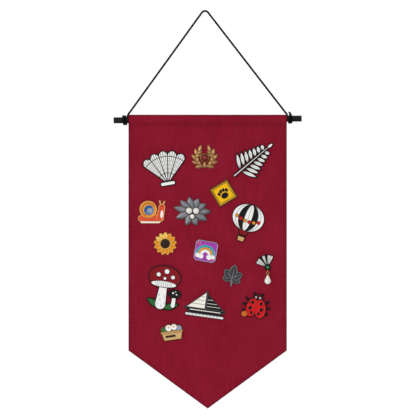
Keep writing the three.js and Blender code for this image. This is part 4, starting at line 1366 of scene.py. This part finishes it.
# %% Places of the pins
# Each pin: motif, place across, place below the sleeve's top, angle, posts, line tint, slot.
PINS = {
    "shell": (shell_motif(), -54, 66.8, 10, [(-12, 4), (12, 4)], "ink", "white_enamel"),
    "wreath": (wreath_motif(), -3.7, 55, 0, [(0, 0)], "gold", "gold"),
    "fern": (fern_motif(), 57.6, 57.7, 40, [(-14, 0), (12, 0)], "ink", "white_enamel"),
    "paw": (paw_motif(), 20.1, 99.7, 30.7, [(0, 0)], "old_brass", "yellow_enamel"),
    "snail": (snail_motif(), -71.4, 122.8, 0, [(-2, 0)], "gold", "brass_enamel"),
    "spray": (spray_motif(), -19.2, 123.7, -6, [(0, 0)], "old_silver", "silver"),
    "balloon": (balloon_motif(), 49.5, 136.7, -20, [(0, 16), (0, -4)], "ink", "white_enamel"),
    "sunflower": (sunflower_motif(), -53.8, 163.8, 6, [(0, 0)], "brass", "brass_enamel"),
    "rainbow": (rainbow_motif(), -2.4, 173.5, -10, [(0, 2)], "silver", "purple_enamel"),
    "toadstool": (toadstool_motif(), -55.4, 219.8, -8, [(0, 14), (-2, -14)], "ink", "white_enamel"),
    "sailboat": (sailboat_motif(), -2.1, 239.8, -8, [(-9, -2), (9, -2)], "slate", "silver_enamel"),
    "ivy": (ivy_motif(), 31.6, 204.7, -14, [(0, 2)], "pewter", "pewter"),
    "fan": (fan_motif(), 73, 185.8, 22, [(0, 0)], "ink", "black_enamel"),
    "ladybird": (ladybird_motif(), 61.5, 244.2, -12, [(0, 0)], "ink", "red_enamel"),
    "basket": (basket_motif(), -45.5, 275.8, 8, [(0, 0)], "old_brass", "brass_enamel"),
}
STONES = {
    "wreath": [((0, 0), CABOCHON_SIZE)],
    "fan": [((0, FAN_PIVOT), FAN_STONE_SIZE)],
    "spray": list(zip(PEARL_PLACES, PEARL_SIZES)),
}
CLOTH_FRONT = CLOTH / 2


def stand_up(name, points, seat=SEAT):
    """Points in a pin's own plane, turned by its angle and stood against the canvas, in metres.

    A point (x, y, z) goes to the pin's place plus x and y turned in the plane of the cloth;
    z points to the front.
    """
    _, across, down, degrees, *_ = PINS[name]
    c, s = aim(degrees)
    x, y, z = np.moveaxis(np.asarray(points, float), -1, 0)
    placed = [across + c * x - s * y, -(CLOTH_FRONT + seat + z), SLEEVE_TOP - down + s * x + c * y]
    return (np.stack(placed, axis=-1) + ROD_MIDDLE) * MM


print("pins:", len(PINS))

# %% [markdown]
# ## Enamel and plated metal
# Enamel is coloured glass or resin, smooth and glossy, and the metal between is plated. The colour
# and the share of metal come with the points of each plate. A little noise keeps the enamel from
# being one flat tone and the plating from being one flat mirror.

# %% Enamel finish
def enamel_finish(name, unevenness):
    """A finish that reads colour and metal from the plate, with faint clouds in tone and gloss."""
    finish = new_finish(name, paint(200, 200, 200), 0.25, Specular_IOR_Level=0.1)
    tree = finish.node_tree
    metal, colour = from_points(finish, "metal"), from_points(finish, "tint", "Color")
    cloud = between(finish, speckle(finish, 420, 3), 0.0, unevenness)
    fine = speckle(finish, 2600, 2)
    dull = math_node(tree, "MULTIPLY", between(finish, fine, 0.1, 0.26), metal)
    grit = math_node(tree, "MULTIPLY", fine, metal)
    drive(
        finish,
        Base_Color=mix_colour(finish, cloud, colour, paint(60, 58, 56)),
        Metallic=metal,
        Roughness=math_node(tree, "ADD", dull, 0.2),
        Normal=bump(finish, grit, 0.012 * MM),
    )
    return finish


gloss_enamel = enamel_finish("gloss_enamel", 0.1)
rubbed_metal = enamel_finish("rubbed_metal", 0.3)
print("finishes:", gloss_enamel.name, rubbed_metal.name)

# %% Badges
RELIEF_PINS = ("wreath", "spray")
POST_TIP = [(0.02, -8), (0.3, -7.4), (0.6, -6.8)]
POST_SIDES = 14
POST_PAD = [(0.6, -0.4), (0.7, -0.24), (2.0, -0.2), (2.0, 0.4), (1.0, 0.5)]
LOOP_RADIUS, LOOP_WIRE = 1.8, 0.45
LOOP_BELOW = FAN_STONE + 2 * RIM
LOOP_RISE = LOOP_RADIUS + LOOP_WIRE + SEAT


def fan_loop(turn):
    """The wire loop under the fan's stone, edge on and straight below it, in the fan's plane."""
    points, faces = wire_ring(LOOP_RADIUS, LOOP_WIRE)
    c, s = aim(-turn)
    x, y, z = -points[:, 2], points[:, 1] - LOOP_BELOW, points[:, 0]
    return np.stack([c * x - s * y, FAN_PIVOT + s * x + c * y, LOOP_RISE + z], axis=1), faces


post_points, post_faces = turned(POST_TIP + POST_PAD, POST_SIDES)
for pin, (motif, _, _, turn, posts, line_tint, slot_name) in PINS.items():
    relief = pin in RELIEF_PINS
    plate, plate_faces, tint, metal = strike(motif, line_tint, STONES.get(pin, []), relief)
    extra = [(post_points + [x, y, 0], post_faces, "steel") for x, y in posts]
    if pin == "fan":
        extra.append((*fan_loop(turn), "gold"))
    parts = [(stand_up(pin, plate), plate_faces)] + [(stand_up(pin, p), f) for p, f, _ in extra]
    made = {
        "tint": np.concatenate([tint] + [np.tile(TINTS[t], (len(p), 1)) for p, _, t in extra]),
        "metal": np.concatenate([metal] + [np.ones(len(p)) for p, _, _ in extra]),
    }
    finish = rubbed_metal if relief else gloss_enamel
    make_piece(f"{pin}_badge", parts, finish, pin, [f"{pin}_pin"], made)
    print(f"{pin}: {len(plate_faces[0])} faces in front")

# %% [markdown]
# ## Stones and pearls
# A cabochon is a domed stone with a flat back. Its height over its radius follows part of an
# ellipse, so it is turned like the rod's end. Pearls are the same with a different glow: a cream
# body under a clear, bright skin.

# %% Stones
DOME_SHARE = 0.75
SETTING_DEPTH = 0.6
DOME_RINGS, DOME_SIDES = 15, 48


def dome(diameter):
    """A flat-backed dome: half an ellipse on a short straight side, turned about its axis."""
    radius = diameter / 2
    t = np.linspace(0, math.pi / 2, DOME_RINGS)[:-1]
    side, crown = SETTING_DEPTH + SEAT, DOME_SHARE * radius
    foot = [[0.4 * radius, 0.0], [radius - 0.05, 0.0]]
    arc = np.stack([radius * np.cos(t), side + crown * np.sin(t)], axis=1)
    tip = [[0.04 * radius, side + 0.999 * crown]]
    return turned(np.concatenate([foot, arc, tip]), DOME_SIDES)


def stone_finish(name, low, high, roughness, **sockets):
    """A polished stone or pearl whose tone drifts between two colours."""
    finish = new_finish(name, high, roughness, **sockets)
    drive(finish, Base_Color=ramp(finish, speckle(finish, 350, 2), low, high))
    return finish


def set_stone(name, pin, place, diameter, finish):
    """A dome in its seat on a pin's plate."""
    points, faces = dome(diameter)
    placed = stand_up(pin, points + [*place, PLATE])
    make_piece(f"{name}_dome", [(placed, faces)], finish, pin, [name])


ruby = stone_finish("red_glass", paint(84, 2, 6), paint(150, 8, 14), 0.06, Specular_IOR_Level=0.35)
emerald = stone_finish(
    "green_glass", paint(8, 84, 44), paint(24, 136, 76), 0.06, Specular_IOR_Level=0.35
)
pearl = stone_finish(
    "pearl_lustre", paint(222, 217, 210), paint(244, 241, 236), 0.28,
    Coat_Weight=0.3, Coat_Roughness=0.12,
)
set_stone("wreath_cabochon", "wreath", (0, 0), CABOCHON_SIZE, ruby)
set_stone("fan_stone", "fan", (0, FAN_PIVOT), FAN_STONE_SIZE, emerald)
for i, (place, size) in enumerate(zip(PEARL_PLACES, PEARL_SIZES)):
    set_stone(f"spray_pearl_{i + 1}", "spray", place, size, pearl)
print("stones and pearls set:", 2 + len(PEARL_SIZES))

# %% [markdown]
# ## The pearl drop
# Below the fan a flattened pearl hangs by a small ring, which links through the loop. The pearl is
# a turned drop, pressed flat from front to back. Its ring lies in the plane of the cloth, the loop
# stands across it.

# %% Pearl drop
DROP_RING_RADIUS = 1.7
DROP_LENGTH = 12.0
DROP_RADIUS = 4.1
DROP_FLATNESS = 0.6
DROP_SIDES, CAP_SIDES = 40, 24

top = -2 * DROP_RING_RADIUS - LOOP_WIRE
belly = top - DROP_LENGTH + DROP_RADIUS
lower = np.linspace(-math.pi / 2 + 0.06, 0.5, 20)
bulb = np.stack([DROP_RADIUS * np.cos(lower), belly + DROP_RADIUS * np.sin(lower)], axis=1)
shoulder = bezier(bulb[-1], (2.0, belly + 4.9), (0.95, top - 0.5), 12)[1:]
drop_profile = np.concatenate([bulb, shoulder, [[0.5, top - 0.2]]])
drop_points, drop_faces = turned(drop_profile, DROP_SIDES)
cap = [(1.25, -1.3), (1.3, -0.9), (0.95, -0.35), (0.62, -0.1), (0.5, 0.4), (0.2, 0.6)]
cap_points, cap_faces = turned(np.array(cap) + [0, top], CAP_SIDES)
link_points, link_faces = wire_ring(DROP_RING_RADIUS, LOOP_WIRE)
link_points = link_points[:, [0, 2, 1]] * [1, -1, 1] - [0, 0, DROP_RING_RADIUS]

hook = stand_up("fan", [0, FAN_PIVOT, LOOP_RISE]) / MM
hang = hook - [0, 0, LOOP_BELOW + LOOP_RADIUS - 2 * LOOP_WIRE - SEAT]


def hung(points, flatness=1.0):
    """Points with their height along the drop's axis, hung below the loop and pressed flat."""
    return (points * [1, flatness, 1] + hang) * MM


bead = [(hung(drop_points, DROP_FLATNESS), drop_faces)]
make_piece("pearl_drop_bead", bead, pearl, "drop", ["pearl_drop"])
metal_parts = [(hung(cap_points, DROP_FLATNESS), cap_faces), (hung(link_points), link_faces)]
metal_count = sum(len(points) for points, _ in metal_parts)
gilt = {"tint": np.tile(TINTS["gold"], (metal_count, 1)), "metal": np.ones(metal_count)}
make_piece("drop_ring", metal_parts, gloss_enamel, "drop", attributes=gilt)
print("drop hangs at", np.round(hang, 2), "mm")

# %% [markdown]
# ## Clutches
# Behind the cloth every post ends in a soft rubber clutch: a broad flange against the cloth, a
# waist to grip and a rounded cap. It is one turned profile with a blind hole. Fine ribs round the
# waist give the fingers hold.

# %% Clutches
CLUTCH_SIDES = 36


def clutch_profile():
    """Radius and height from the middle of the cap, round the outside to the flange and bore."""
    quarter = np.linspace(0, math.pi / 2, 6)
    cap = np.stack([2.5 + 0.8 * np.sin(quarter), -6.8 - 0.8 * np.cos(quarter)], axis=1)
    height = np.linspace(-6.2, -3.1, 15)
    waist = 2.95 + 0.35 * ((height + 4.65) / 1.55) ** 2 + 0.1 * np.cos(height * 8)
    flange = [(4.3, -2.5), (4.65, -2.3), (4.8, -1.9), (4.8, -0.4), (4.6, 0.1), (4.2, 0.28)]
    bore = [(0.9, 0.28), (0.72, 0.1), (0.72, -5.8), (0.3, -6.2)]
    return np.concatenate([[(0.8, -7.6)], cap, np.stack([waist, height], axis=1), flange, bore])


rubber = new_finish("black_rubber", paint(27, 27, 28), 0.62, Specular_IOR_Level=0.2)
rubber_tone = speckle(rubber, 900, 3)
drive(
    rubber,
    Base_Color=ramp(rubber, rubber_tone, paint(20, 20, 21), paint(36, 36, 37)),
    Roughness=between(rubber, rubber_tone, 0.5, 0.75),
    Normal=bump(rubber, speckle(rubber, 2400, 2), 0.03 * MM),
)
clutch_points, clutch_faces = turned(clutch_profile(), CLUTCH_SIDES)
clutches = []
for pin, (_, _, _, _, posts, _, _) in PINS.items():
    for i, (x, y) in enumerate(posts):
        node = f"{pin}_clutch" + (f"_{i + 1}" if len(posts) > 1 else "")
        placed = [(stand_up(pin, clutch_points + [x, y, 0], seat=-CLOTH - SEAT), clutch_faces)]
        clutches.append(make_piece(f"{node}_rubber", placed, rubber, node, [node]))
print("clutches:", len(clutches))
